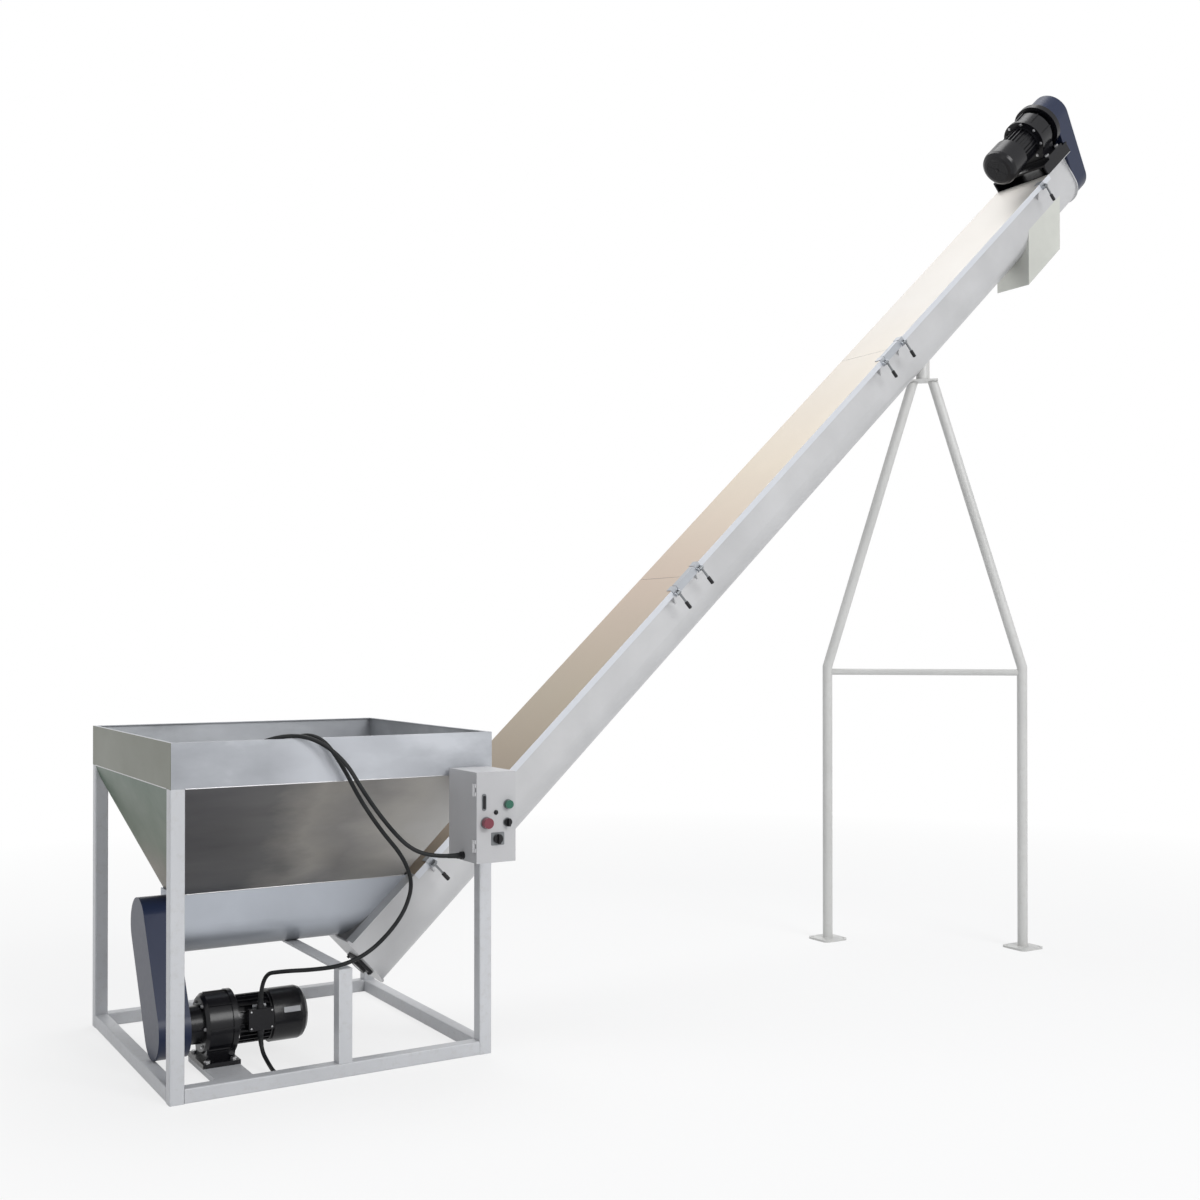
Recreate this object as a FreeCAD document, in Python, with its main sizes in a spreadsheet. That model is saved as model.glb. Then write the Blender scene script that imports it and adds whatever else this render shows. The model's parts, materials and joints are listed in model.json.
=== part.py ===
import FreeCAD, Part
import Sketcher
import math
import os

# Screw loader: a stainless hopper on a square tube frame feeds a short level
# screw, which hands over to a long inclined screw under latched lids. The
# head end drops through a spout and an A-shaped stand carries the upper half.
# Millimetres, +Z up. Origin on the floor under the middle of the hopper frame,
# +X along the machine towards the head, +Y to the rear.

doc = FreeCAD.newDocument("screw_loader")
dims = doc.addObject("Spreadsheet::Sheet", "dims")
parts = []
tally = {"row": 0, "sketch": 0}


class Size:
    """A length with its value and the text that binds it to the sheet."""

    def __init__(self, value, text):
        self.value = float(value)
        self.text = text

    def __add__(self, other):
        other = size(other)
        return Size(self.value + other.value, "(" + self.text + " + " + other.text + ")")

    def __sub__(self, other):
        other = size(other)
        return Size(self.value - other.value, "(" + self.text + " - " + other.text + ")")

    def __mul__(self, factor):
        factor = size(factor)
        return Size(self.value * factor.value, "(" + self.text + " * " + factor.text + ")")

    def __truediv__(self, factor):
        factor = size(factor)
        return Size(self.value / factor.value, "(" + self.text + " / " + factor.text + ")")

    def __radd__(self, other):
        return size(other) + self

    def __rsub__(self, other):
        return size(other) - self

    def __neg__(self):
        return Size(-self.value, "(0 - " + self.text + ")")


def size(number):
    if isinstance(number, Size):
        return number
    return Size(number, repr(float(number)))


def dim(name, value, note):
    """Writes one driving dimension to the sheet and returns it as a Size."""
    tally["row"] += 1
    row = str(tally["row"])
    dims.set("A" + row, note)
    dims.set("B" + row, repr(value))
    dims.setAlias("B" + row, name)
    return Size(value, "dims." + name)


# Hopper frame
frame_long = dim("frame_long", 1190, "frame length along X")
frame_wide = dim("frame_wide", 1182, "frame width along Y")
frame_tall = dim("frame_tall", 1200, "height of the hopper rim")
tube = dim("tube", 50, "square tube side")
tube_round = dim("tube_round", 5, "square tube corner radius")
tube_wall = dim("tube_wall", 3, "square and round tube wall")
sheet = dim("sheet", 3, "sheet metal thickness")
band_tall = dim("band_tall", 155, "height of the upright rim band")
lip = dim("lip", 14, "inward fold at the rim")
plug_tall = dim("plug_tall", 20, "threaded plug in the foot of a post")
plug_hole = dim("plug_hole", 8, "anchor thread radius in the plug")
mid_post_at = dim("mid_post_at", 614, "mid post centre from the left end")
strap_thick = dim("strap_thick", 8, "flat strap from the mid post to the trough")

# Level feed trough
feed_axis = dim("feed_axis", 492, "height of the level screw axis")
feed_top = dim("feed_top", 610, "height of the level trough edge")
feed_start = dim("feed_start", 156, "left end of the level trough")
feed_end = dim("feed_end", 1040, "right end of the hopper mouth")
trough_out = dim("trough_out", 110, "outer radius of both trough bottoms")

# Screws
flight_out = dim("flight_out", 98, "flight radius")
flight_thick = dim("flight_thick", 5, "flight thickness")
flight_pitch = dim("flight_pitch", 200, "flight pitch")
flight_facets = dim("flight_facets", 20, "flight facets to a turn")
core_out = dim("core_out", 30, "screw core tube radius")
core_wall = dim("core_wall", 5, "screw core tube wall")
core_plug = dim("core_plug", 60, "solid plug at each end of a screw core")
shaft_out = dim("shaft_out", 17.5, "screw end shaft radius")
run_gap = dim("run_gap", 0.05, "radial clearance of running fits")
feed_screw_end = dim("feed_screw_end", 862, "free end of the level screw")

# Inclined trough, in its own frame: X up the slope, Z square to the lids
slope = dim("slope", 43.02, "slope of the inclined trough, degrees")
slope_drop = dim("slope_drop", -372.7, "height where the lid plane meets the left end")
trough_low = dim("trough_low", 1100, "lower end along the slope")
trough_high = dim("trough_high", 6650, "upper end along the slope")
axis_depth = dim("axis_depth", 158, "screw axis below the lid plane")
flange_half = dim("flange_half", 176, "half width over the trough flanges")
lid_half = dim("lid_half", 180, "half width over the lid lips")
lid_lip = dim("lid_lip", 24, "depth of the lid lips")
lid_one = dim("lid_one", 1452, "lower end of the first lid")
lid_two = dim("lid_two", 3220, "joint of first and second lid")
lid_three = dim("lid_three", 4890, "joint of second and third lid")
lid_stop = dim("lid_stop", 6420, "upper end of the third lid")
lid_gap = dim("lid_gap", 2, "gap at a lid joint")
plate = dim("plate", 6, "end plate thickness")
plate_half = dim("plate_half", 118, "end plate half width")
latch_inset = dim("latch_inset", 82, "latch distance from a lid end")
rib_deep = dim("rib_deep", 84, "latch rib depth")
rib_out = dim("rib_out", 168, "latch rib reach")

# Spout
spout_left = dim("spout_left", 4618, "spout left face from the left end")
spout_right = dim("spout_right", 4858, "spout right face from the left end")
spout_cut = dim("spout_cut", 370, "spout mouth below the lid plane")
spout_tall = dim("spout_tall", 420, "tallest upright cut of the spout")
spout_level = dim("spout_level", 3700, "spout blank foot above the slope start")
flight_inset = dim("flight_inset", 8, "flight start inside the end plate")
flight_stop = dim("flight_stop", 6420, "upper end of the inclined flight")
shaft_spare = dim("shaft_spare", 14, "shaft length past the sprocket")

# Bearings, sprockets and chain guards
bearing_half = dim("bearing_half", 52, "flange bearing half width")
bearing_thick = dim("bearing_thick", 24, "flange bearing depth")
driven_out = dim("driven_out", 78, "driven sprocket radius")
pinion_out = dim("pinion_out", 52, "drive sprocket radius")
driven_teeth = dim("driven_teeth", 27, "driven sprocket teeth")
pinion_teeth = dim("pinion_teeth", 18, "drive sprocket teeth")
sprocket_wide = dim("sprocket_wide", 12, "sprocket tooth width")
sprocket_at = dim("sprocket_at", 66, "sprocket middle from the guard back")
chain_thick = dim("chain_thick", 7, "chain loop thickness")
chain_gap = dim("chain_gap", 0.3, "gap of chain to sprocket tips")
guard_out = dim("guard_out", 105, "guard end radius")
guard_deep = dim("guard_deep", 112, "guard cover depth")
guard_wall = dim("guard_wall", 2, "guard sheet thickness")
low_across = dim("low_across", -205, "lower drive axis from the screw axis along Y")
low_rise = dim("low_rise", -336, "lower drive axis from the screw axis along Z")
top_across = dim("top_across", 81, "upper drive axis from the screw axis across")
top_rise = dim("top_rise", 351, "upper drive axis above the screw axis")

# Gear motor, shared by both drives
drive_shaft = dim("drive_shaft", 15, "output shaft radius")
neck_out = dim("neck_out", 66, "reducer neck radius")
neck_end = dim("neck_end", 55, "reducer neck length")
case_out = dim("case_out", 110, "reducer case radius")
case_end = dim("case_end", 150, "reducer case end")
ring_out = dim("ring_out", 115, "reducer flange radius")
ring_end = dim("ring_end", 168, "reducer flange end")
motor_core = dim("motor_core", 78, "motor body radius under the fins")
fin_out = dim("fin_out", 88, "motor fin tip radius")
motor_end = dim("motor_end", 305, "motor body end")
cowl_out = dim("cowl_out", 97, "fan cowl radius")
cowl_end = dim("cowl_end", 440, "fan cowl end")
centre_tall = dim("centre_tall", 136, "shaft centre above the feet")
foot_start = dim("foot_start", 42, "start of the reducer feet along the axis")
foot_end = dim("foot_end", 178, "end of the reducer feet along the axis")
foot_half = dim("foot_half", 100, "half width of the reducer feet")
foot_thick = dim("foot_thick", 16, "thickness of the reducer feet")
bolt_across = dim("bolt_across", 160, "foot bolt spacing across")
bolt_along = dim("bolt_along", 96, "foot bolt spacing along")
bolt_hole = dim("bolt_hole", 7, "foot bolt hole radius")
bed_thick = dim("bed_thick", 20, "floor plate under the lower reducer")
face_out = dim("face_out", 126, "face flange radius of the upper reducer")
face_start = dim("face_start", 10, "face flange start of the upper reducer")
face_end = dim("face_end", 40, "face flange end of the upper reducer")
neck_gap = dim("neck_gap", 4, "gap of the reducer neck to the guard")
shaft_in = dim("shaft_in", 40, "output shaft length inside the reducer")
tooth_gap = dim("tooth_gap", 4, "sprocket tooth gap radius")
fin_half = dim("fin_half", 1.5, "half thickness of a motor fin")
neck_step = dim("neck_step", 4, "reducer neck widening at the case")
case_bevel = dim("case_bevel", 12, "bevel of the reducer case edge")
rib_half = dim("rib_half", 3, "half thickness of a case rib")
rib_sink = dim("rib_sink", 4, "depth of a rib in the case")
rib_stand = dim("rib_stand", 5, "height of a rib over the case")
rib_count = dim("rib_count", 8, "number of case ribs")
web_inset = dim("web_inset", 20, "inset of the foot web top")
web_top = dim("web_top", 30, "foot web top below the axis")
web_front = dim("web_front", 7, "foot web set back from the case front")
web_back = dim("web_back", 2, "foot web set back from the ring end")
shield_long = dim("shield_long", 14, "motor front shield length")
shield_back = dim("shield_back", 8, "motor rear shield length")
fin_sink = dim("fin_sink", 3, "depth of a fin in the motor core")
fin_count = dim("fin_count", 24, "number of motor fins")
terminal_out = dim("terminal_out", 26, "terminal box height over the fins")
terminal_sink = dim("terminal_sink", 28, "terminal box depth in the core")
cowl_round = dim("cowl_round", 30, "length of the rounded cowl end")
cowl_turn = dim("cowl_turn", 16, "start of the cowl's steeper turn")
cowl_lip = dim("cowl_lip", 4, "start of the cowl's flat end")
cowl_ease = dim("cowl_ease", 5, "cowl radius lost at the turn")
cowl_drop = dim("cowl_drop", 20, "cowl radius lost at the lip")
cowl_flat = dim("cowl_flat", 34, "cowl radius lost at the flat end")
seat_foot = dim("seat_foot", 5, "thickness of the upper seat's base")
seat_cheek = dim("seat_cheek", 8, "thickness of the upper seat's cheeks")
seat_clear = dim("seat_clear", 4, "gap of the upper seat to the last lid")
box_rise = dim("box_rise", -20, "terminal box underside from the motor axis")
terminal_tall = dim("terminal_tall", 74, "terminal box height")
terminal_start = dim("terminal_start", 204, "terminal box start along the axis")
terminal_end = dim("terminal_end", 294, "terminal box end along the axis")
bolt_head = dim("bolt_head", 12, "bolt head corner radius")
bolt_head_tall = dim("bolt_head_tall", 8, "bolt head height")
seat_thick = dim("seat_thick", 10, "upper seat plate thickness")

# Stand
stand_at = dim("stand_at", 3960, "stand centre from the left end")
stand_turn = dim("stand_turn", -43.9, "turn of the stand about the vertical, degrees")
stand_half = dim("stand_half", 485, "half spread of the stand legs")
stand_bend = dim("stand_bend", 1410, "height of the bend in the legs")
stand_top = dim("stand_top", 2868, "height of the leg tops")
stand_close = dim("stand_close", 42, "half spread at the leg tops")
leg_out = dim("leg_out", 25, "leg tube radius")
brace_out = dim("brace_out", 16, "brace tube radius")
brace_up = dim("brace_up", 1384, "height of the brace between the legs")
foot_side = dim("foot_side", 150, "foot plate side")
foot_plate = dim("foot_plate", 10, "foot plate thickness")
anchor_hole = dim("anchor_hole", 7, "anchor hole radius")
anchor_span = dim("anchor_span", 110, "anchor hole spacing")
socket_out = dim("socket_out", 34, "round socket under the trough")
cap_side = dim("cap_side", 150, "cap plate length")
cap_wide = dim("cap_wide", 76, "cap plate width")

# Latches
latch_wide = dim("latch_wide", 30, "latch strap width")
latch_pin = dim("latch_pin", 4, "latch pin radius")
strap_reach = dim("strap_reach", 34, "latch strap length over the lid")
strap_drop = dim("strap_drop", 12, "latch strap end below the pin")
ear_top = dim("ear_top", 10, "latch ear root below the pin")
ear_half = dim("ear_half", 7, "latch ear half height at the pin")
ear_low = dim("ear_low", 12, "latch ear root above the pin")
angle_reach = dim("angle_reach", 26, "joint plate length over the lid")
angle_drop = dim("angle_drop", 6, "joint plate end below the lid lip")
angle_gap = dim("angle_gap", 4, "gap of a joint plate to the straps")
lever_gap = dim("lever_gap", 6, "gap of the lever to the strap edge")
lever_eye = dim("lever_eye", 4, "wall of the lever eye")
lever_thick = dim("lever_thick", 6, "lever arm thickness")
lever_half = dim("lever_half", 4, "half width of the lever arm")
lever_stop = dim("lever_stop", 30, "lever arm end over the grip end")
grip_out = dim("grip_out", 7, "lever grip radius")
grip_long = dim("grip_long", 34, "lever grip length")
grip_inset = dim("grip_inset", 3, "lever grip axis inside the eye")
rail_inset = dim("rail_inset", 20, "box rail set back from the box side")
rail_tall = dim("rail_tall", 30, "box rail height")
rail_low = dim("rail_low", 40, "lower box rail above the box bottom")
rail_high = dim("rail_high", 90, "upper box rail below the box top")
knob_tail = dim("knob_tail", 8, "knob stem length behind the door")
knob_gap = dim("knob_gap", 0.5, "gap of a knob to the door")
stop_wider = dim("stop_wider", 4, "stop button radius over a start button")
stop_tall = dim("stop_tall", 20, "stop button height")
start_tall = dim("start_tall", 14, "start button height")
select_less = dim("select_less", 1, "selector radius under a start button")
select_tall = dim("select_tall", 12, "selector height")
power_wider = dim("power_wider", 2, "power switch radius over a start button")
power_tall = dim("power_tall", 10, "power switch height")
handle_half = dim("handle_half", 4, "half width of a knob handle")
handle_tall = dim("handle_tall", 10, "knob handle height")
latch_out = dim("latch_out", 196, "latch pin distance from the centre plane")
latch_down = dim("latch_down", 22, "latch pin below the lid plane")
lever_long = dim("lever_long", 88, "lever length")

# Control box
box_left = dim("box_left", 1005, "control box left face")
box_right = dim("box_right", 1160, "control box right face")
box_front = dim("box_front", -246, "control box door plane")
box_back = dim("box_back", -20, "control box rear face")
box_low = dim("box_low", 752, "control box underside")
box_high = dim("box_high", 1074, "control box top")
door_thick = dim("door_thick", 14, "door thickness")
hinge_out = dim("hinge_out", 6, "door hinge barrel radius")
hinge_pin = dim("hinge_pin", 3, "door hinge pin radius")
hinge_inset = dim("hinge_inset", 62, "hinge middle from a box end")
knuckle = dim("knuckle", 14, "height of one hinge barrel")
knuckle_gap = dim("knuckle_gap", 0.5, "gap between two hinge barrels")
hinge_leaf = dim("hinge_leaf", 10, "depth of a hinge leaf")
button_hole = dim("button_hole", 11, "push button barrel radius")
button_head = dim("button_head", 15, "push button head radius")
button_travel = dim("button_travel", 4, "push button travel")
stop_at = dim("stop_at", 1042, "stop button from the left end")
stop_up = dim("stop_up", 895, "stop button height")
start_at = dim("start_at", 1128, "start button from the left end")
start_up = dim("start_up", 957, "start button height")
select_at = dim("select_at", 1126, "selector from the left end")
select_up = dim("select_up", 893, "selector height")
power_at = dim("power_at", 1088, "power switch from the left end")
power_up = dim("power_up", 836, "power switch height")
gland_at = dim("gland_at", -140, "box gland from the frame front")
gland_up = dim("gland_up", 770, "box gland height")
gland_out = dim("gland_out", 14, "cable gland radius")
gland_long = dim("gland_long", 24, "cable gland length")
cord_out = dim("cord_out", 7.5, "lead radius")
rim_gap = dim("rim_gap", 2, "lead above the hopper rim")

half_long = frame_long / 2
half_wide = frame_wide / 2
slope_turn = FreeCAD.Rotation(FreeCAD.Vector(0, 1, 0), -slope.value)
slope_base = FreeCAD.Vector(-half_long.value, 0, slope_drop.value)
trough_in = trough_out - sheet
foot_middle = (foot_start + foot_end) / 2


def keep(obj, label, placement=None):
    """Names a finished sub-part, places it and adds it to the list."""
    obj.Label = label
    if placement is not None:
        obj.Placement = placement
    parts.append(obj)
    return obj


def new_body(label, placement=None):
    body = doc.addObject("PartDesign::Body", label)
    return keep(body, label, placement)


def new_blank(label, placement=None):
    """A body that isn't a sub-part itself but is joined, cut or repeated."""
    body = doc.addObject("PartDesign::Body", label)
    body.Label = label
    if placement is not None:
        body.Placement = placement
    return body


def join(name, bodies):
    """One sub-part made of several separate solids."""
    joined = doc.addObject("Part::Compound", name)
    joined.Links = bodies
    doc.recompute()
    return keep(joined, name)


def origin_plane(body, name):
    for item in body.Origin.OriginFeatures:
        if item.Role == name:
            return item
    return None


def new_sketch(body, plane, height):
    """Opens a sketch on an origin plane, raised to a height along its axis."""
    tally["sketch"] += 1
    sketch = body.newObject("Sketcher::SketchObject", "sketch" + str(tally["sketch"]))
    sketch.AttachmentSupport = [(origin_plane(body, plane + "_Plane"), "")]
    sketch.MapMode = "FlatFace"
    height = size(height)
    if plane == "XZ":
        height = -height
    sketch.AttachmentOffset = FreeCAD.Placement(
        FreeCAD.Vector(0, 0, height.value), FreeCAD.Rotation())
    sketch.setExpression("AttachmentOffset.Base.z", height.text)
    return sketch


def bind(sketch, kind, where, length):
    index = sketch.addConstraint(Sketcher.Constraint(kind, *where, length.value))
    sketch.setExpression("Constraints[" + str(index) + "]", length.text)


def draw(sketch, item):
    """Draws a closed polygon, a circle or a belt outline, fully dimensioned."""
    vec = FreeCAD.Vector
    if item[0] == "round":
        across, up, radius = [size(v) for v in item[1:4]]
        circle = Part.Circle(vec(across.value, up.value, 0), vec(0, 0, 1), radius.value)
        number = sketch.addGeometry(circle, False)
        bind(sketch, "Radius", (number,), radius)
        bind(sketch, "DistanceX", (-1, 1, number, 3), across)
        bind(sketch, "DistanceY", (-1, 1, number, 3), up)
        return
    if item[0] == "belt":
        draw_belt(sketch, [size(v) for v in item[1:]])
        return
    points = [(size(p[0]), size(p[1])) for p in item[1]]
    if item[0] == "path":
        pairs = list(zip(points[:-1], points[1:]))
    else:
        pairs = list(zip(points, points[1:] + points[:1]))
    first = None
    for start, end in pairs:
        number = sketch.addGeometry(Part.LineSegment(
            vec(start[0].value, start[1].value, 0), vec(end[0].value, end[1].value, 0)), False)
        if first is None:
            first = number
        else:
            sketch.addConstraint(Sketcher.Constraint("Coincident", number - 1, 2, number, 1))
        bind(sketch, "DistanceX", (-1, 1, number, 1), start[0])
        bind(sketch, "DistanceY", (-1, 1, number, 1), start[1])
    if item[0] == "path":
        bind(sketch, "DistanceX", (-1, 1, number, 2), points[-1][0])
        bind(sketch, "DistanceY", (-1, 1, number, 2), points[-1][1])
    else:
        sketch.addConstraint(Sketcher.Constraint("Coincident", number, 2, first, 1))


def draw_belt(sketch, values):
    """Outline of a belt around two circles: across, up, radius, twice."""
    vec = FreeCAD.Vector
    one = vec(values[0].value, values[1].value, 0)
    two = vec(values[3].value, values[4].value, 0)
    r_one = values[2].value
    r_two = values[5].value
    gap = two - one
    heading = math.atan2(gap.y, gap.x)
    lean = math.acos((r_one - r_two) / gap.Length)
    up = heading + lean
    down = heading - lean

    def tip(centre, radius, angle):
        return centre + vec(radius * math.cos(angle), radius * math.sin(angle), 0)

    arc_one = sketch.addGeometry(Part.ArcOfCircle(
        Part.Circle(one, vec(0, 0, 1), r_one), up, down + 2 * math.pi), False)
    line_low = sketch.addGeometry(Part.LineSegment(
        tip(one, r_one, down), tip(two, r_two, down)), False)
    arc_two = sketch.addGeometry(Part.ArcOfCircle(
        Part.Circle(two, vec(0, 0, 1), r_two), down, up), False)
    line_high = sketch.addGeometry(Part.LineSegment(
        tip(two, r_two, up), tip(one, r_one, up)), False)
    for before, after in ((arc_one, line_low), (line_low, arc_two),
                          (arc_two, line_high), (line_high, arc_one)):
        sketch.addConstraint(Sketcher.Constraint("Tangent", before, 2, after, 1))
    for number, first in ((arc_one, 0), (arc_two, 3)):
        bind(sketch, "Radius", (number,), values[first + 2])
        bind(sketch, "DistanceX", (-1, 1, number, 3), values[first])
        bind(sketch, "DistanceY", (-1, 1, number, 3), values[first + 1])


def pad(body, plane, items, low, high):
    """Adds the outlines from low to high along the axis square to the plane."""
    low = size(low)
    high = size(high)
    sketch = new_sketch(body, plane, high if plane == "XZ" else low)
    for item in items:
        draw(sketch, item)
    feature = body.newObject("PartDesign::Pad", "pad" + str(tally["sketch"]))
    feature.Profile = sketch
    feature.Length = high.value - low.value
    feature.setExpression("Length", (high - low).text)
    doc.recompute()
    return feature


def cut(body, plane, items, low, high):
    """Cuts the outlines from low to high along the axis square to the plane."""
    low = size(low)
    high = size(high)
    before = body.Shape.Volume
    sketch = new_sketch(body, plane, low if plane == "XZ" else high)
    for item in items:
        draw(sketch, item)
    feature = body.newObject("PartDesign::Pocket", "cut" + str(tally["sketch"]))
    feature.Profile = sketch
    feature.Length = high.value - low.value
    feature.setExpression("Length", (high - low).text)
    doc.recompute()
    if not body.Shape.isValid() or body.Shape.Volume > before - 0.01:
        feature.Reversed = True
        doc.recompute()
    if body.Shape.Volume > before - 0.01:
        raise RuntimeError("cut removes nothing: " + body.Label)
    return feature


def spin(body, plane, points, axis):
    """Turns a closed outline once around an axis of its sketch."""
    sketch = new_sketch(body, plane, 0)
    draw(sketch, ("shape", points))
    feature = body.newObject("PartDesign::Revolution", "spin" + str(tally["sketch"]))
    feature.Profile = sketch
    feature.ReferenceAxis = (sketch, [axis])
    feature.Angle = 360
    doc.recompute()
    return feature


def repeat_round(body, feature, axis, count):
    """Repeats a feature in a ring around an origin axis."""
    ring = body.newObject("PartDesign::PolarPattern", "ring" + str(tally["sketch"]))
    ring.Originals = [feature]
    ring.Axis = (origin_plane(body, axis + "_Axis"), [""])
    ring.Angle = 360
    body.Tip = ring
    ring.Occurrences = count
    doc.recompute()
    return ring


def rect(left, low, right, high):
    return ("shape", [(left, low), (right, low), (right, high), (left, high)])


def round_edges(body, picked, radius):
    """Rounds the edges of the body's tip that the test function picks."""
    base = body.Tip
    names = []
    for number, edge in enumerate(base.Shape.Edges):
        if picked(edge):
            names.append("Edge" + str(number + 1))
    fillet = body.newObject("PartDesign::Fillet", "round" + str(tally["sketch"]))
    fillet.Base = (base, names)
    fillet.Radius = radius.value
    fillet.setExpression("Radius", radius.text)
    doc.recompute()
    return fillet


def runs_along(edge, axis):
    """True for a straight edge parallel to a coordinate axis."""
    if not isinstance(edge.Curve, Part.Line):
        return False
    direction = edge.Vertexes[-1].Point - edge.Vertexes[0].Point
    return abs(abs(direction.dot(axis)) - direction.Length) < 1e-6


def bar(label, plane, box, low, high):
    """A square tube with rounded long edges."""
    body = new_blank(label)
    pad(body, plane, [rect(*box)], low, high)
    axis = {"XY": (0, 0, 1), "XZ": (0, 1, 0), "YZ": (1, 0, 0)}[plane]
    round_edges(body, lambda edge: runs_along(edge, FreeCAD.Vector(*axis)), tube_round)
    left, front, right, rear = box
    cut(body, plane, [rect(left + tube_wall, front + tube_wall, right - tube_wall,
                           rear - tube_wall)], low, high)
    return body


def hopper_corners(low, high, grow):
    """Four corners of the hopper's outer skin at the mouth and at the band,
    drawn in by the sheet thickness where grow is one."""
    drop = frame_tall.value - band_tall.value - feed_top.value
    runs = [feed_start.value, frame_long.value - feed_end.value,
            half_wide.value - trough_out.value]
    thick = [sheet.value * math.hypot(run, drop) / drop * grow for run in runs]
    rings = []
    for left, right, side, level in (
            (-half_long.value, half_long.value, half_wide.value, high),
            (feed_start.value - half_long.value, feed_end.value - half_long.value,
             trough_out.value, low)):
        rings.append([
            FreeCAD.Vector(left + thick[0], -side + thick[2], level),
            FreeCAD.Vector(right - thick[1], -side + thick[2], level),
            FreeCAD.Vector(right - thick[1], side - thick[2], level),
            FreeCAD.Vector(left + thick[0], side - thick[2], level)])
    return rings


def block(near, far):
    """A solid between two four-cornered faces."""
    faces = [Part.Face(Part.makePolygon(near + near[:1])),
             Part.Face(Part.makePolygon(far + far[:1]))]
    for k in range(4):
        j = (k + 1) % 4
        faces.append(Part.Face(Part.makePolygon([near[k], near[j], far[j], far[k], near[k]])))
    solid = Part.makeSolid(Part.makeShell(faces))
    if solid.Volume < 0:
        solid.reverse()
    return solid


def make_frame():
    """Four posts under the rim band, four floor rails and the mid post."""
    post_top = frame_tall - band_tall
    left = -half_long
    right = half_long
    front = -half_wide
    rear = half_wide
    rings = hopper_corners(feed_top.value, post_top.value, 0)
    form = doc.addObject("Part::Feature", "hopper_form")
    form.Shape = block(rings[0], rings[1])
    for name, box in (("post_front_left", (left, front, left + tube, front + tube)),
                      ("post_front_right", (right - tube, front, right, front + tube)),
                      ("post_rear_left", (left, rear - tube, left + tube, rear)),
                      ("post_rear_right", (right - tube, rear - tube, right, rear))):
        body = bar(name + "_blank", "XY", box, 0, post_top)
        inner = tube_wall
        pad(body, "XY", [rect(box[0] + inner, box[1] + inner, box[2] - inner, box[3] - inner)],
            0, plug_tall)
        cut(body, "XY", [("round", (box[0] + box[2]) / 2, (box[1] + box[3]) / 2, plug_hole)],
            0, plug_tall)
        post = doc.addObject("Part::Cut", name)
        post.Base = body
        post.Tool = form
        doc.recompute()
        keep(post, name)
    join("floor_rails", [
        bar("rail_front", "YZ", (front, 0, front + tube, tube), left + tube, right - tube),
        bar("rail_rear", "YZ", (rear - tube, 0, rear, tube), left + tube, right - tube),
        bar("rail_left", "XZ", (left, 0, left + tube, tube), front + tube, rear - tube),
        bar("rail_right", "XZ", (right - tube, 0, right, tube), front + tube, rear - tube)])
    mid = mid_post_at - half_long
    strap_top = feed_axis - trough_out
    body = new_body("mid_post")
    pad(body, "XY", [rect(mid - tube / 2, front, mid + tube / 2, front + tube)],
        tube, strap_top)
    pad(body, "XZ", [rect(mid - tube / 2, strap_top - strap_thick, mid + tube / 2, strap_top)],
        front + tube, tube)


def make_hopper():
    """The upright rim band with its fold, and four sloped sheets."""
    low = frame_tall - band_tall
    body = new_body("rim_band")
    pad(body, "XY", [rect(-half_long, -half_wide, half_long, half_wide)], low, frame_tall)
    cut(body, "XY", [rect(-half_long + lip, -half_wide + lip, half_long - lip, half_wide - lip)],
        frame_tall - sheet, frame_tall)
    cut(body, "XY", [rect(-half_long + sheet, -half_wide + sheet,
                          half_long - sheet, half_wide - sheet)], low, frame_tall - sheet)
    skin = hopper_corners(feed_top.value, low.value, 0)
    lining = hopper_corners(feed_top.value, low.value, 1)
    for name, k in (("hopper_front", 0), ("hopper_right", 1), ("hopper_rear", 2),
                    ("hopper_left", 3)):
        j = (k + 1) % 4
        near = [skin[0][k], skin[0][j], skin[1][j], skin[1][k]]
        far = [lining[0][k], lining[0][j], lining[1][j], lining[1][k]]
        obj = doc.addObject("Part::Feature", name)
        obj.Shape = block(near, far)
        keep(obj, name)


def slope_place(along=0.0, across=0.0, rise=0.0):
    """Placement of a piece drawn in the frame of the inclined trough."""
    base = slope_base + slope_turn.multVec(FreeCAD.Vector(along, across, rise))
    return FreeCAD.Placement(base, slope_turn)


def make_feed_trough():
    """Level U trough, cut where it opens into the inclined one."""
    start = feed_start - half_long
    end = feed_end - half_long + tube
    body = new_blank("feed_trough_blank")
    pad(body, "YZ", [rect(-trough_out, feed_axis, trough_out, feed_top)], start, end)
    pad(body, "YZ", [("round", 0, feed_axis, trough_out)], start, end)
    cut(body, "YZ", [("round", 0, feed_axis, trough_in)], start, end)
    cut(body, "YZ", [rect(-trough_in, feed_axis, trough_in, feed_top)], start, end)
    reach = trough_high.value
    tool = doc.addObject("Part::Box", "slope_form")
    tool.Length = reach
    tool.Width = reach
    tool.Height = reach
    tool.Placement = slope_place(0, -reach / 2, -reach)
    trough = doc.addObject("Part::Cut", "feed_trough")
    trough.Base = body
    trough.Tool = tool
    doc.recompute()
    keep(trough, "feed_trough")
    body = new_body("feed_end_plate")
    pad(body, "YZ", [rect(-plate_half, feed_axis - plate_half, plate_half, feed_top - sheet)],
        start - plate, start)
    cut(body, "YZ", [("round", 0, feed_axis, shaft_out + 2)], start - plate, start)


def latch_places():
    near = latch_inset
    return [lid_one + near, lid_two - near, lid_two + near, lid_three - near,
            lid_three + near, lid_stop - near]


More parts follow.
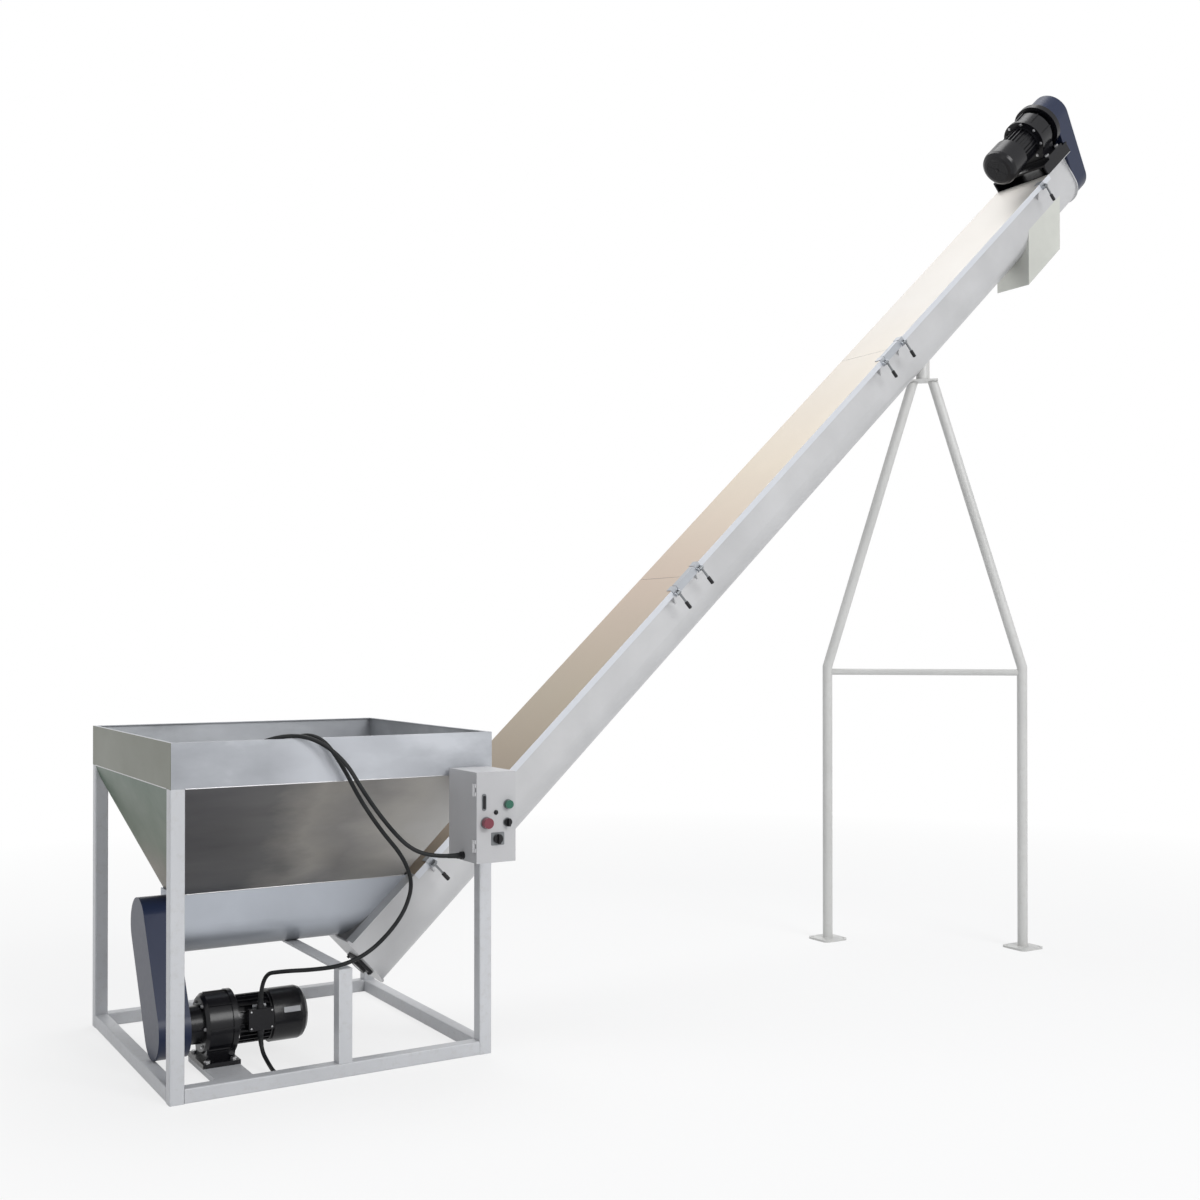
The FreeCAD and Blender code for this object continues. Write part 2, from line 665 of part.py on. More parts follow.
def make_incline():
    """Inclined U trough with flanges and latch ribs, end plates and lids."""
    at = slope_place()
    low = trough_low
    high = trough_high
    body = new_blank("incline_trough_blank", at)
    pad(body, "YZ", [rect(-flange_half, -sheet, flange_half, 0)], low, high)
    pad(body, "YZ", [rect(-trough_out, -axis_depth, trough_out, 0)], low, high)
    pad(body, "YZ", [("round", 0, -axis_depth, trough_out)], low, high)
    cut(body, "YZ", [("round", 0, -axis_depth, trough_in)], low, high)
    cut(body, "YZ", [rect(-trough_in, -axis_depth, trough_in, 0)], low, high)
    for place in latch_places():
        pad(body, "YZ", [("shape", [(-trough_out, -sheet), (-rib_out, -sheet),
                                    (-trough_out, -rib_deep)])], place - sheet, place + sheet)
    hole = doc.addObject("Part::Box", "spout_form")
    side = trough_in.value
    hole.Length = spout_right.value - spout_left.value - 2 * sheet.value
    hole.Width = 2 * side
    hole.Height = spout_tall.value
    tilt = math.radians(slope.value)
    middle = (spout_left.value + spout_right.value) / 2
    level = slope_drop.value + middle * math.tan(tilt) - axis_depth.value / math.cos(tilt)
    hole.Placement = FreeCAD.Placement(FreeCAD.Vector(
        spout_left.value + sheet.value - half_long.value, -side, level - spout_tall.value),
        FreeCAD.Rotation())
    over = doc.addObject("Part::Box", "hole_form")
    over.Length = trough_high.value
    over.Width = 2 * side
    over.Height = trough_high.value
    over.Placement = slope_place(0, -side, -axis_depth.value)
    tool = doc.addObject("Part::Cut", "outlet_form")
    tool.Base = hole
    tool.Tool = over
    trough = doc.addObject("Part::Cut", "incline_trough")
    trough.Base = body
    trough.Tool = tool
    doc.recompute()
    keep(trough, "incline_trough")
    for name, start, end in (("incline_foot_plate", low - plate, low),
                             ("head_plate", high, high + plate)):
        body = new_body(name, at)
        pad(body, "YZ", [rect(-plate_half, -axis_depth, plate_half, -sheet)], start, end)
        pad(body, "YZ", [("round", 0, -axis_depth, plate_half)], start, end)
        cut(body, "YZ", [("round", 0, -axis_depth, shaft_out + 2)], start, end)
    for name, start, end in (("lid_lower", lid_one, lid_two - lid_gap),
                             ("lid_middle", lid_two, lid_three - lid_gap),
                             ("lid_upper", lid_three, lid_stop)):
        body = new_body(name, at)
        pad(body, "YZ", [("shape", [
            (-lid_half, -lid_lip), (-lid_half + sheet, -lid_lip), (-lid_half + sheet, 0),
            (lid_half - sheet, 0), (lid_half - sheet, -lid_lip), (lid_half, -lid_lip),
            (lid_half, sheet), (-lid_half, sheet)])], start, end)


def make_spout():
    """Upright spout of four sheets under the head, its mouth cut along the
    slope and its top cut to the round bottom of the trough."""
    left = spout_left - half_long
    right = spout_right - half_long
    level = slope_drop + spout_level
    reach = trough_high.value
    under = doc.addObject("Part::Box", "mouth_form")
    under.Length = reach * 2
    under.Width = reach
    under.Height = reach
    under.Placement = slope_place(0, -reach / 2, -reach - spout_cut.value)
    inside = doc.addObject("Part::Cylinder", "trough_form")
    inside.Radius = trough_out.value
    inside.setExpression("Radius", trough_out.text)
    inside.Height = reach * 2
    inside.Placement = FreeCAD.Placement(
        slope_place(0, 0, -axis_depth.value).Base,
        slope_turn.multiply(FreeCAD.Rotation(FreeCAD.Vector(0, 1, 0), 90)))
    over = doc.addObject("Part::Box", "above_form")
    over.Length = reach * 2
    over.Width = reach
    over.Height = reach
    over.Placement = slope_place(0, -reach / 2, -axis_depth.value)
    tools = doc.addObject("Part::MultiFuse", "spout_forms")
    tools.Shapes = [under, inside, over]
    walls = []
    for name, box in (("left_wall", (left, -trough_out, left + sheet, trough_out)),
                      ("right_wall", (right - sheet, -trough_out, right, trough_out)),
                      ("front_wall", (left + sheet, -trough_out, right - sheet, -trough_in)),
                      ("rear_wall", (left + sheet, trough_in, right - sheet, trough_out))):
        body = new_blank(name + "_blank")
        pad(body, "XY", [rect(*box)], level, level + spout_tall * 2)
        wall = doc.addObject("Part::Cut", name)
        wall.Base = body
        wall.Tool = tools
        walls.append(wall)
    join("spout", walls)


def flight_solid(low, high):
    """A screw flight along Z in flat facets. Its inner edge rests on the core."""
    per_turn = int(flight_facets.value)
    step = 2 * math.pi / per_turn
    rise = flight_pitch.value / per_turn
    count = int((high - low - flight_thick.value) / rise)
    inner = core_out.value / math.cos(step / 2)
    rows = []
    for k in range(count + 1):
        ray = FreeCAD.Vector(math.cos(step * k), math.sin(step * k), 0)
        foot = FreeCAD.Vector(0, 0, low + rise * k)
        lift = FreeCAD.Vector(0, 0, flight_thick.value)
        near = foot + ray * inner
        far = foot + ray * flight_out.value
        rows.append([near, far, far + lift, near + lift])
    faces = [Part.Face(Part.makePolygon(rows[0] + rows[0][:1])),
             Part.Face(Part.makePolygon(rows[-1] + rows[-1][:1]))]
    for one, two in zip(rows[:-1], rows[1:]):
        for k in range(4):
            j = (k + 1) % 4
            faces.append(Part.Face(Part.makePolygon([one[k], one[j], two[j], one[k]])))
            faces.append(Part.Face(Part.makePolygon([one[k], two[j], two[k], one[k]])))
    shell = Part.makeShell(faces)
    shell.sewShape()
    solid = Part.makeSolid(shell)
    if solid.Volume < 0:
        solid.reverse()
    return solid


def make_screw(name, core, flight, shafts, placement):
    """Core tube with stepped end shafts, and its welded flight, on +X."""
    vec = FreeCAD.Vector
    turn = FreeCAD.Placement(vec(0, 0, 0), FreeCAD.Rotation(vec(0, 1, 0), 90))
    solid = Part.makeCylinder(core_out.value, core[1] - core[0], vec(0, 0, core[0]))
    plug = core_plug.value
    solid = solid.cut(Part.makeCylinder(
        core_out.value - core_wall.value, core[1] - core[0] - 2 * plug, vec(0, 0, core[0] + plug)))
    for low, high in shafts:
        solid = solid.fuse(Part.makeCylinder(shaft_out.value, high - low, vec(0, 0, low)))
    obj = doc.addObject("Part::Feature", name)
    obj.Shape = Part.makeCompound([solid, flight_solid(flight[0], flight[1])])
    keep(obj, name, placement.multiply(turn))


def make_screws():
    """Both screws. Each drive end shaft runs on to carry its sprocket."""
    reach = plate.value + sprocket_at.value + shaft_spare.value
    inset = flight_inset.value
    feed = FreeCAD.Placement(FreeCAD.Vector(
        feed_start.value - half_long.value, 0, feed_axis.value), FreeCAD.Rotation())
    end = feed_screw_end.value - feed_start.value
    make_screw("feed_screw", (inset, end), (inset, end), [(-reach, inset)], feed)
    low = trough_low.value
    high = trough_high.value
    make_screw("incline_screw", (low + inset, high - inset), (low + inset, flight_stop.value),
               [(low - plate.value - bearing_thick.value, low + inset),
                (high - inset, high + reach)], slope_place(0, 0, -axis_depth.value))


def drive_frames():
    """Drive frames at the screw axes: +X points from the guard to the trough."""
    low = FreeCAD.Placement(FreeCAD.Vector(
        feed_start.value - half_long.value - plate.value, 0, feed_axis.value),
        FreeCAD.Rotation())
    high = slope_place(trough_high.value + plate.value, 0, -axis_depth.value)
    half_turn = FreeCAD.Rotation(FreeCAD.Vector(0, 0, 1), 180)
    high = FreeCAD.Placement(high.Base, high.Rotation.multiply(half_turn))
    return low, high


def bearing_solid():
    """Square flanged bearing with a round hub; its face sits at x = 0."""
    body = new_blank("bearing_blank")
    half = bearing_half
    pad(body, "YZ", [rect(-half, -half, half, half)], -bearing_thick / 2, 0)
    round_edges(body, lambda edge: runs_along(edge, FreeCAD.Vector(1, 0, 0)), half / 2.5)
    pad(body, "YZ", [("round", 0, 0, half * 0.72)], -bearing_thick, -bearing_thick / 2)
    cut(body, "YZ", [("round", 0, 0, shaft_out + run_gap)], -bearing_thick, 0)
    for across in (-1, 1):
        for up in (-1, 1):
            pad(body, "YZ", [("round", half * 0.76 * across, half * 0.76 * up, 6)],
                -bearing_thick / 2 - 7, -bearing_thick / 2)
    return body.Shape


def placed(shape, places):
    copies = []
    for place in places:
        one = shape.copy()
        one.Placement = place.multiply(one.Placement)
        copies.append(one)
    return copies


def gather(name, solids):
    """One sub-part holding several separate solids."""
    obj = doc.addObject("Part::Feature", name)
    obj.Shape = Part.makeCompound(solids)
    return keep(obj, name)


def spread(name, shape, places):
    """One sub-part holding the same solid at several places."""
    return gather(name, placed(shape, places))


def make_bearings():
    """Flange bearings: two inside the guards and one on the foot plate."""
    low, high = drive_frames()
    inset = FreeCAD.Placement(FreeCAD.Vector(-guard_wall.value, 0, 0), FreeCAD.Rotation())
    foot = slope_place(trough_low.value - plate.value, 0, -axis_depth.value)
    spread("flange_bearings", bearing_solid(), [low.multiply(inset), high.multiply(inset), foot])


def toothed(body, radius, teeth, bore, boss):
    """A sprocket disc with round tooth gaps and a hub, on the X axis."""
    near = -sprocket_at - sprocket_wide / 2
    far = -sprocket_at + sprocket_wide / 2
    pad(body, "YZ", [("round", 0, 0, radius)], near, far)
    gap = cut(body, "YZ", [("round", 0, radius, tooth_gap)], near, far)
    repeat_round(body, gap, "X", int(teeth.value))
    pad(body, "YZ", [("round", 0, 0, boss)], -sprocket_at, -sprocket_at + sprocket_wide * 1.5)
    if bore is not None:
        cut(body, "YZ", [("round", 0, 0, bore)], near, -sprocket_at + sprocket_wide * 1.5)


def make_drive(prefix, frame, across, rise):
    """Guard shell, chain, sprockets and gear motor of one drive."""
    second = FreeCAD.Placement(frame.Base + frame.Rotation.multVec(
        FreeCAD.Vector(0, across.value, rise.value)), frame.Rotation)
    belt = ("belt", 0, 0, guard_out, across, rise, guard_out)
    back = new_blank(prefix + "_guard_back", frame)
    pad(back, "YZ", [belt], -guard_wall, 0)
    cut(back, "YZ", [("round", 0, 0, shaft_out + 2)], -guard_wall, 0)
    cut(back, "YZ", [("round", across, rise, drive_shaft + 4)], -guard_wall, 0)
    cover = new_body(prefix + "_guard_cover", frame)
    front = -guard_wall - guard_deep
    pad(cover, "YZ", [belt], front, -guard_wall)
    inner = guard_out - guard_wall
    cut(cover, "YZ", [("belt", 0, 0, inner, across, rise, inner)], front + guard_wall, -guard_wall)
    flat = sprocket_wide / 2 - 2
    chain = new_blank(prefix + "_chain", frame)
    big = driven_out + chain_gap
    small = pinion_out + chain_gap
    pad(chain, "YZ", [("belt", 0, 0, big + chain_thick, across, rise, small + chain_thick)],
        -sprocket_at - flat, -sprocket_at + flat)
    cut(chain, "YZ", [("belt", 0, 0, big, across, rise, small)],
        -sprocket_at - flat, -sprocket_at + flat)
    driven = new_body(prefix + "_sprocket", frame)
    toothed(driven, driven_out, driven_teeth, shaft_out, shaft_out * 2)
    pinion = new_body(prefix + "_pinion", second)
    toothed(pinion, pinion_out, pinion_teeth, None, drive_shaft * 2)
    pad(pinion, "YZ", [("round", 0, 0, drive_shaft)], -sprocket_at - sprocket_wide, shaft_in)
    face = []
    if prefix == "upper":
        face = [(face_start, neck_out), (face_start, face_out), (face_end, face_out),
                (face_end, neck_out + 4)]
    make_reducer(prefix, second, face)
    make_motor(prefix, second)
    return back, chain


def make_reducer(prefix, frame, face):
    """Foot-mounted reducer: neck, ribbed case, bolted flange and two feet.
    A face flange stands on the neck where its outline is given."""
    body = new_body(prefix + "_reducer", frame)
    bore = drive_shaft + run_gap
    start = neck_gap
    spin(body, "XZ", [(start, bore), (start, neck_out)] + face + [
        (neck_end, neck_out + neck_step), (neck_end, case_out - case_bevel),
        (neck_end + case_bevel, case_out),
        (case_end, case_out), (case_end, ring_out), (ring_end, ring_out), (ring_end, 0),
        (shaft_in + 1, 0), (shaft_in + 1, bore)], "H_Axis")
    rib = pad(body, "XY", [rect(neck_end + case_bevel, -rib_half, case_end, rib_half)],
              case_out - rib_sink, case_out + rib_stand)
    repeat_round(body, rib, "X", int(rib_count.value))
    low = -centre_tall
    web = bolt_across / 2 - bolt_head * 1.4
    pad(body, "YZ", [("shape", [
        (-web, low + foot_thick), (web, low + foot_thick),
        (case_out - web_inset, -web_top), (web_inset - case_out, -web_top)])],
        neck_end + web_front, ring_end - web_back)
    pad(body, "XY", [rect(foot_start, -foot_half, foot_end, foot_half)], low, low + foot_thick)
    for along in (-1, 1):
        for side in (-1, 1):
            cut(body, "XY", [("round", foot_middle + bolt_along / 2 * along,
                              bolt_across / 2 * side, bolt_hole)], low, low + foot_thick)


def make_motor(prefix, frame):
    """Finned motor with its terminal box, and the domed fan cowl."""
    body = new_blank(prefix + "_motor_body", frame)
    spin(body, "XZ", [
        (ring_end, 0), (ring_end, fin_out), (ring_end + shield_long, fin_out),
        (ring_end + shield_long, motor_core), (motor_end - shield_back, motor_core),
        (motor_end - shield_back, fin_out), (motor_end, fin_out), (motor_end, 0)], "H_Axis")
    fin = pad(body, "XY", [rect(ring_end + shield_long, -fin_half,
                                motor_end - shield_back, fin_half)],
              motor_core - fin_sink, fin_out)
    repeat_round(body, fin, "X", int(fin_count.value))
    pad(body, "XZ", [rect(terminal_start, box_rise, terminal_end, box_rise + terminal_tall)],
        -fin_out - terminal_out, -motor_core + terminal_sink)
    cowl = new_blank(prefix + "_fan_cowl", frame)
    spin(cowl, "XZ", [
        (motor_end, 0), (motor_end, cowl_out), (cowl_end - cowl_round, cowl_out),
        (cowl_end - cowl_turn, cowl_out - cowl_ease), (cowl_end - cowl_lip, cowl_out - cowl_drop),
        (cowl_end, cowl_out - cowl_flat), (cowl_end, 0)], "H_Axis")
    join(prefix + "_motor", [body, cowl])


def bolt_solid():
    """Hexagon bolt: head above z = 0, shank below."""
    body = new_blank("bolt_blank")
    corners = []
    for k in range(6):
        corners.append((bolt_head * math.cos(math.pi * k / 3),
                        bolt_head * math.sin(math.pi * k / 3)))
    pad(body, "XY", [("shape", corners)], 0, bolt_head_tall)
    pad(body, "XY", [("round", 0, 0, bolt_hole - 0.5)], -foot_thick - seat_thick, 0)
    return body.Shape


def make_drives():
    """Both drives, the lower one's floor plate, the upper one's seat, bolts."""
    low, high = drive_frames()
    low_back, low_chain = make_drive("lower", low, low_across, low_rise)
    high_back, high_chain = make_drive("upper", high, top_across, top_rise)
    join("guard_backs", [low_back, high_back])
    join("chains", [low_chain, high_chain])
    bed_at = low.multiply(FreeCAD.Placement(FreeCAD.Vector(
        foot_middle.value, low_across.value, low_rise.value - centre_tall.value),
        FreeCAD.Rotation()))
    seat_at = high.multiply(FreeCAD.Placement(FreeCAD.Vector(
        foot_middle.value, top_across.value, top_rise.value - centre_tall.value),
        FreeCAD.Rotation()))
    bed = new_body("floor_plate", bed_at)
    half = bolt_along / 2 + bolt_head * 1.5
    pad(bed, "XY", [rect(-half, -half_wide + tube - low_across, half, foot_half)],
        -bed_thick, 0)
    make_seat(high)
    places = []
    for along in (-1, 1):
        for side in (-1, 1):
            cut(bed, "XY", [("round", bolt_along / 2 * along, bolt_across / 2 * side,
                             bolt_hole)], -bed_thick, 0)
            move = FreeCAD.Placement(FreeCAD.Vector(
                bolt_along.value / 2 * along, bolt_across.value / 2 * side,
                foot_thick.value), FreeCAD.Rotation())
            places += [bed_at.multiply(move), seat_at.multiply(move)]
    spread("foot_bolts", bolt_solid(), places)


def make_seat(frame):
    """Seat of the upper reducer: base over the trough, two cheeks, top."""
    body = new_body("drive_seat", frame)
    lid_level = axis_depth
    top = top_rise - centre_tall
    start = size(2)
    end = trough_high + plate - lid_stop - seat_clear
    side = flange_half
    far = top_across + foot_half
    foot = lid_level + seat_foot
    pad(body, "YZ", [rect(-side, lid_level, side, foot)], start, end)
    pad(body, "YZ", [rect(-side, foot, -side + seat_cheek, top - seat_thick)], start, end)
    pad(body, "YZ", [rect(side - seat_cheek, foot, side, top - seat_thick)], start, end)
    pad(body, "YZ", [rect(-side, top - seat_thick, far, top)], start, end)
    for along in (-1, 1):
        for across in (-1, 1):
            cut(body, "XY", [("round", foot_middle + bolt_along / 2 * along,
                              top_across + bolt_across / 2 * across, bolt_hole)],
                top - seat_thick, top)


def tube_along(body, points, radius):
    """A round bar swept along a bent line in the XZ plane."""
    path = new_sketch(body, "XZ", 0)
    draw(path, ("path", points))
    ring = new_sketch(body, "XY", points[0][1])
    draw(ring, ("round", points[0][0], 0, radius))
    draw(ring, ("round", points[0][0], 0, radius - tube_wall))
    pipe = body.newObject("PartDesign::AdditivePipe", "pipe" + str(tally["sketch"]))
    pipe.Profile = ring
    pipe.Spine = path
    pipe.Transition = "Right corner"
    doc.recompute()
    return pipe


def make_stand():
    """Two bent legs with a brace, cap plate, round socket and foot plates."""
    turn = FreeCAD.Rotation(FreeCAD.Vector(0, 0, 1), stand_turn.value)
    at = FreeCAD.Placement(FreeCAD.Vector(stand_at.value - half_long.value, 0, 0), turn)
    for name, side in (("stand_leg_left", -1), ("stand_leg_right", 1)):
        body = new_body(name, at)
        tube_along(body, [(stand_half * side, foot_plate), (stand_half * side, stand_bend),
                          (stand_close * side, stand_top + leg_out)], leg_out)
        cut(body, "XY", [rect(-stand_half, -stand_half, stand_half, stand_half)],
            stand_top, stand_top + stand_half)
    body = new_blank("stand_brace_blank", at)
    pad(body, "YZ", [("round", 0, brace_up, brace_out),
                     ("round", 0, brace_up, brace_out - tube_wall)], -stand_half, stand_half)
    brace = doc.addObject("Part::Cut", "brace_cut")
    legs = doc.addObject("Part::MultiFuse", "leg_forms")
    posts = []
    for side in (-1, 1):
        post = doc.addObject("Part::Cylinder", "leg_form")
        post.Radius = leg_out.value
        post.setExpression("Radius", leg_out.text)
        post.Height = stand_half.value
        post.Placement = at.multiply(FreeCAD.Placement(FreeCAD.Vector(
            stand_half.value * side, 0, brace_up.value - stand_half.value / 2),
            FreeCAD.Rotation()))
        posts.append(post)
    legs.Shapes = posts
    brace.Base = body
    brace.Tool = legs
    doc.recompute()
    keep(brace, "stand_brace")
    make_stand_socket(at)
    plate_body = new_blank("foot_plate_blank")
    half = foot_side / 2
    pad(plate_body, "XY", [rect(-half, -half, half, half)], 0, foot_plate)
    round_edges(plate_body, lambda edge: runs_along(edge, FreeCAD.Vector(0, 0, 1)),
                foot_side / 6)
    for along in (-1, 1):
        for side in (-1, 1):
            cut(plate_body, "XY", [("round", anchor_span / 2 * along, anchor_span / 2 * side,
                                    anchor_hole)], 0, foot_plate)
    places = []
    for side in (-1, 1):
        foot = at.multVec(FreeCAD.Vector(stand_half.value * side, 0, 0))
        places.append(FreeCAD.Placement(foot, FreeCAD.Rotation()))
    spread("stand_foot_plates", plate_body.Shape, places)


def make_stand_socket(at):
    """Cap plate on the leg tops and the round socket fitted to the trough."""
    body = new_blank("stand_socket_blank", at)
    pad(body, "XY", [rect(-cap_side / 2, -cap_wide / 2, cap_side / 2, cap_wide / 2)],
        stand_top, stand_top + foot_plate)
    pad(body, "XY", [("round", 0, 0, socket_out)], stand_top + foot_plate,
        stand_top + trough_out * 1.4)
    saddle = doc.addObject("Part::Cylinder", "saddle_form")
    saddle.Radius = trough_out.value
    saddle.setExpression("Radius", trough_out.text)
    saddle.Height = trough_high.value
    saddle.Placement = FreeCAD.Placement(
        slope_place(0, 0, -axis_depth.value).Base,
        slope_turn.multiply(FreeCAD.Rotation(FreeCAD.Vector(0, 1, 0), 90)))
    socket = doc.addObject("Part::Cut", "stand_socket")
    socket.Base = body
    socket.Tool = saddle
    doc.recompute()
    keep(socket, "stand_socket")


def make_latches():
    """Six straps over the near lid lip, their levers, two joint plates."""
    strap = new_blank("strap_blank")
    side = lid_half
    half = latch_wide / 2
    ear = size(5)
    pad(strap, "YZ", [("shape", [
        (-side + strap_reach, sheet), (-side + strap_reach, sheet * 2),
        (-side - sheet, sheet * 2), (-side - sheet, -latch_down - strap_drop),
        (-side, -latch_down - strap_drop), (-side, sheet)])], -half, half)
    for low, high in ((-half, -half + ear), (half - ear, half)):
        pad(strap, "YZ", [("shape", [
            (-side - sheet, -latch_down - ear_top), (-latch_out, -latch_down - ear_half),
            (-latch_out - ear_half, -latch_down), (-latch_out, -latch_down + ear_half),
            (-side - sheet, -latch_down + ear_low)])], low, high)
    pad(strap, "YZ", [("round", -latch_out, -latch_down, latch_pin)], -half, half)
    for number, place in enumerate(latch_places()):
        make_lever("latch_lever_" + str(number + 1), slope_place(
            place.value, -latch_out.value, -latch_down.value))
    angle = new_blank("angle_blank")
    reach = latch_inset - latch_wide / 2 - angle_gap
    pad(angle, "YZ", [("shape", [
        (-side + angle_reach, sheet), (-side + angle_reach, sheet * 2),
        (-side - sheet, sheet * 2), (-side - sheet, -lid_lip - angle_drop),
        (-side, -lid_lip - angle_drop), (-side, sheet)])], -reach, reach)
    copies = placed(strap.Shape, [slope_place(place.value) for place in latch_places()])
    copies += placed(angle.Shape, [slope_place(lid_two.value - lid_gap.value / 2),
                                   slope_place(lid_three.value - lid_gap.value / 2)])
    gather("lid_fittings", copies)


def make_lever(name, placement):
    """Latch lever: eye on the pin, flat arm hanging down, round grip."""
    body = new_body(name, placement)
    half = latch_wide / 2 - lever_gap
    eye = latch_pin + lever_eye
    pad(body, "YZ", [("round", 0, 0, eye)], -half, half)
    pad(body, "YZ", [("shape", [
        (-eye, 0), (-eye + lever_thick, 0), (-eye + lever_thick, -lever_long + lever_stop),
        (-eye, -lever_long + lever_stop)])], -lever_half, lever_half)
    grip_low = -lever_long
    pad(body, "XY", [("round", 0, -eye + grip_inset, grip_out)], grip_low, grip_low + grip_long)
    cut(body, "YZ", [("round", 0, 0, latch_pin + run_gap)], -half, half)


def make_box():
    """Control box on two rails at the front right post, with its door."""
    left = box_left - half_long
    right = box_right - half_long
    front = box_front - half_wide
    rear = box_back - half_wide
    mouth = front + door_thick
    rail = new_blank("rail_blank")
    pad(rail, "XY", [rect(left + rail_inset, rear, half_long, -half_wide)], 0, rail_tall)
    spread("box_rails", rail.Shape, [
        FreeCAD.Placement(FreeCAD.Vector(0, 0, (box_low + rail_low).value), FreeCAD.Rotation()),
        FreeCAD.Placement(FreeCAD.Vector(0, 0, (box_high - rail_high).value), FreeCAD.Rotation())])
    body = new_body("control_box")
    pad(body, "XY", [rect(left, mouth, right, rear)], box_low, box_high)
    cut(body, "XZ", [rect(left + sheet, box_low + sheet, right - sheet, box_high - sheet)],
        mouth, rear - sheet)
    door = new_body("box_door")
    pad(door, "XZ", [rect(left, box_low, right, box_high)], front, mouth)
    make_hinges(body, door, left, mouth)
    for across, up in ((stop_at, stop_up), (start_at, start_up), (select_at, select_up),
                       (power_at, power_up)):
        cut(door, "XZ", [("round", across - half_long, up, button_hole + run_gap)],
            front, mouth)
    for name, across, up, head, tall in (
            ("stop_button", stop_at, stop_up, button_head + stop_wider, stop_tall),
            ("start_button", start_at, start_up, button_head, start_tall),
            ("selector_knob", select_at, select_up, button_head - select_less, select_tall),
            ("power_switch", power_at, power_up, button_head + power_wider, power_tall)):
        knob = new_body(name, FreeCAD.Placement(FreeCAD.Vector(
            across.value - half_long.value, front.value, up.value), FreeCAD.Rotation()))
        out = button_travel + knob_gap if name.endswith("button") else knob_gap
        pad(knob, "XZ", [("round", 0, 0, button_hole)], -out, door_thick + knob_tail)
        pad(knob, "XZ", [("round", 0, 0, head)], -out - tall, -out)
        if name.endswith("knob") or name.endswith("switch"):
            pad(knob, "XZ", [rect(-handle_half, -head, handle_half, head)],
                -out - tall - handle_tall, -out - tall)
    gland = new_blank("gland_blank")
    pad(gland, "XY", [("round", 0, 0, gland_out)], 0, gland_long / 2)
    pad(gland, "XY", [("round", 0, 0, gland_out - sheet)], gland_long / 2, gland_long)
    cut(gland, "XY", [("round", 0, 0, cord_out + run_gap)], 0, gland_long)
    spread("cable_glands", gland.Shape, gland_places())


def make_hinges(body, door, left, mouth):
    """Two barrel hinges outside the left edge of the door. The pin and the
    middle barrel belong to the box, the outer two barrels to the door."""
    middle_line = left - hinge_out
    half = knuckle / 2
    for middle in (box_low + hinge_inset, box_high - hinge_inset):
        pad(body, "XY", [rect(middle_line, mouth, left, mouth + hinge_leaf)],
            middle - half, middle + half)
        pad(body, "XY", [("round", middle_line, mouth, hinge_out)], middle - half, middle + half)
        pad(body, "XY", [("round", middle_line, mouth, hinge_pin)],
            middle - half - knuckle, middle + half + knuckle)
        for low in (middle - half - knuckle_gap - knuckle, middle + half + knuckle_gap):
            pad(door, "XY", [rect(middle_line, mouth - hinge_leaf, left, mouth)],
                low, low + knuckle)
            pad(door, "XY", [("round", middle_line, mouth, hinge_out)], low, low + knuckle)
            cut(door, "XY", [("round", middle_line, mouth, hinge_pin + run_gap)],
                low, low + knuckle)


def gland_places():
    """Gland seats: low on the box's left side, above and below the motor's
    terminal box. Each gland points along its own +Z."""
    box = FreeCAD.Placement(FreeCAD.Vector(
        box_left.value - half_long.value, gland_at.value - half_wide.value, gland_up.value),
        FreeCAD.Rotation(FreeCAD.Vector(0, 1, 0), -90))
    low = drive_frames()[0]
    middle = low.Base + FreeCAD.Vector(
        (terminal_start.value + terminal_end.value) / 2, low_across.value - fin_out.value - 12,
        low_rise.value + box_rise.value)
    top = FreeCAD.Placement(middle + FreeCAD.Vector(0, 0, terminal_tall.value),
                            FreeCAD.Rotation())
    under = FreeCAD.Placement(middle, FreeCAD.Rotation(FreeCAD.Vector(1, 0, 0), 180))
    return [box, top, under]


def lead_wire(points):
    """Straight runs joined by tangent arcs. Each arc takes 0.45 of the shorter
    run beside its corner."""
    edges = []
    last = points[0]
    for before, corner, after in zip(points[:-2], points[1:-1], points[2:]):
        inward = (before - corner).normalize()
        outward = (after - corner).normalize()
        reach = 0.45 * min((before - corner).Length, (after - corner).Length)
        start = corner + inward * reach
        end = corner + outward * reach
        half_turn = (math.pi - inward.getAngle(outward)) / 2
        radius = reach / math.tan(half_turn)
        middle_way = (inward + outward).normalize()
        centre = corner + middle_way * (radius / math.cos(half_turn))
        edges.append(Part.LineSegment(last, start).toShape())
        edges.append(Part.Arc(start, centre - middle_way * radius, end).toShape())
        print("  lead bend radius", round(radius, 1))
        last = end
    edges.append(Part.LineSegment(last, points[-1]).toShape())
    return Part.Wire(edges)


def lead_solid(points):
    """Round lead along a route, checked against its length times its section."""
    wire = lead_wire(points)
    heading = points[1] - points[0]
    ring = Part.Wire(Part.makeCircle(cord_out.value, points[0], heading))
    solid = wire.makePipeShell([ring], True, False)
    section = math.pi * cord_out.value ** 2
    ratio = solid.Volume / (section * wire.Length)
    if abs(ratio - 1) > 0.01:
        raise RuntimeError("lead volume is off: " + str(ratio))
    print("  lead length", round(wire.Length))
    return solid


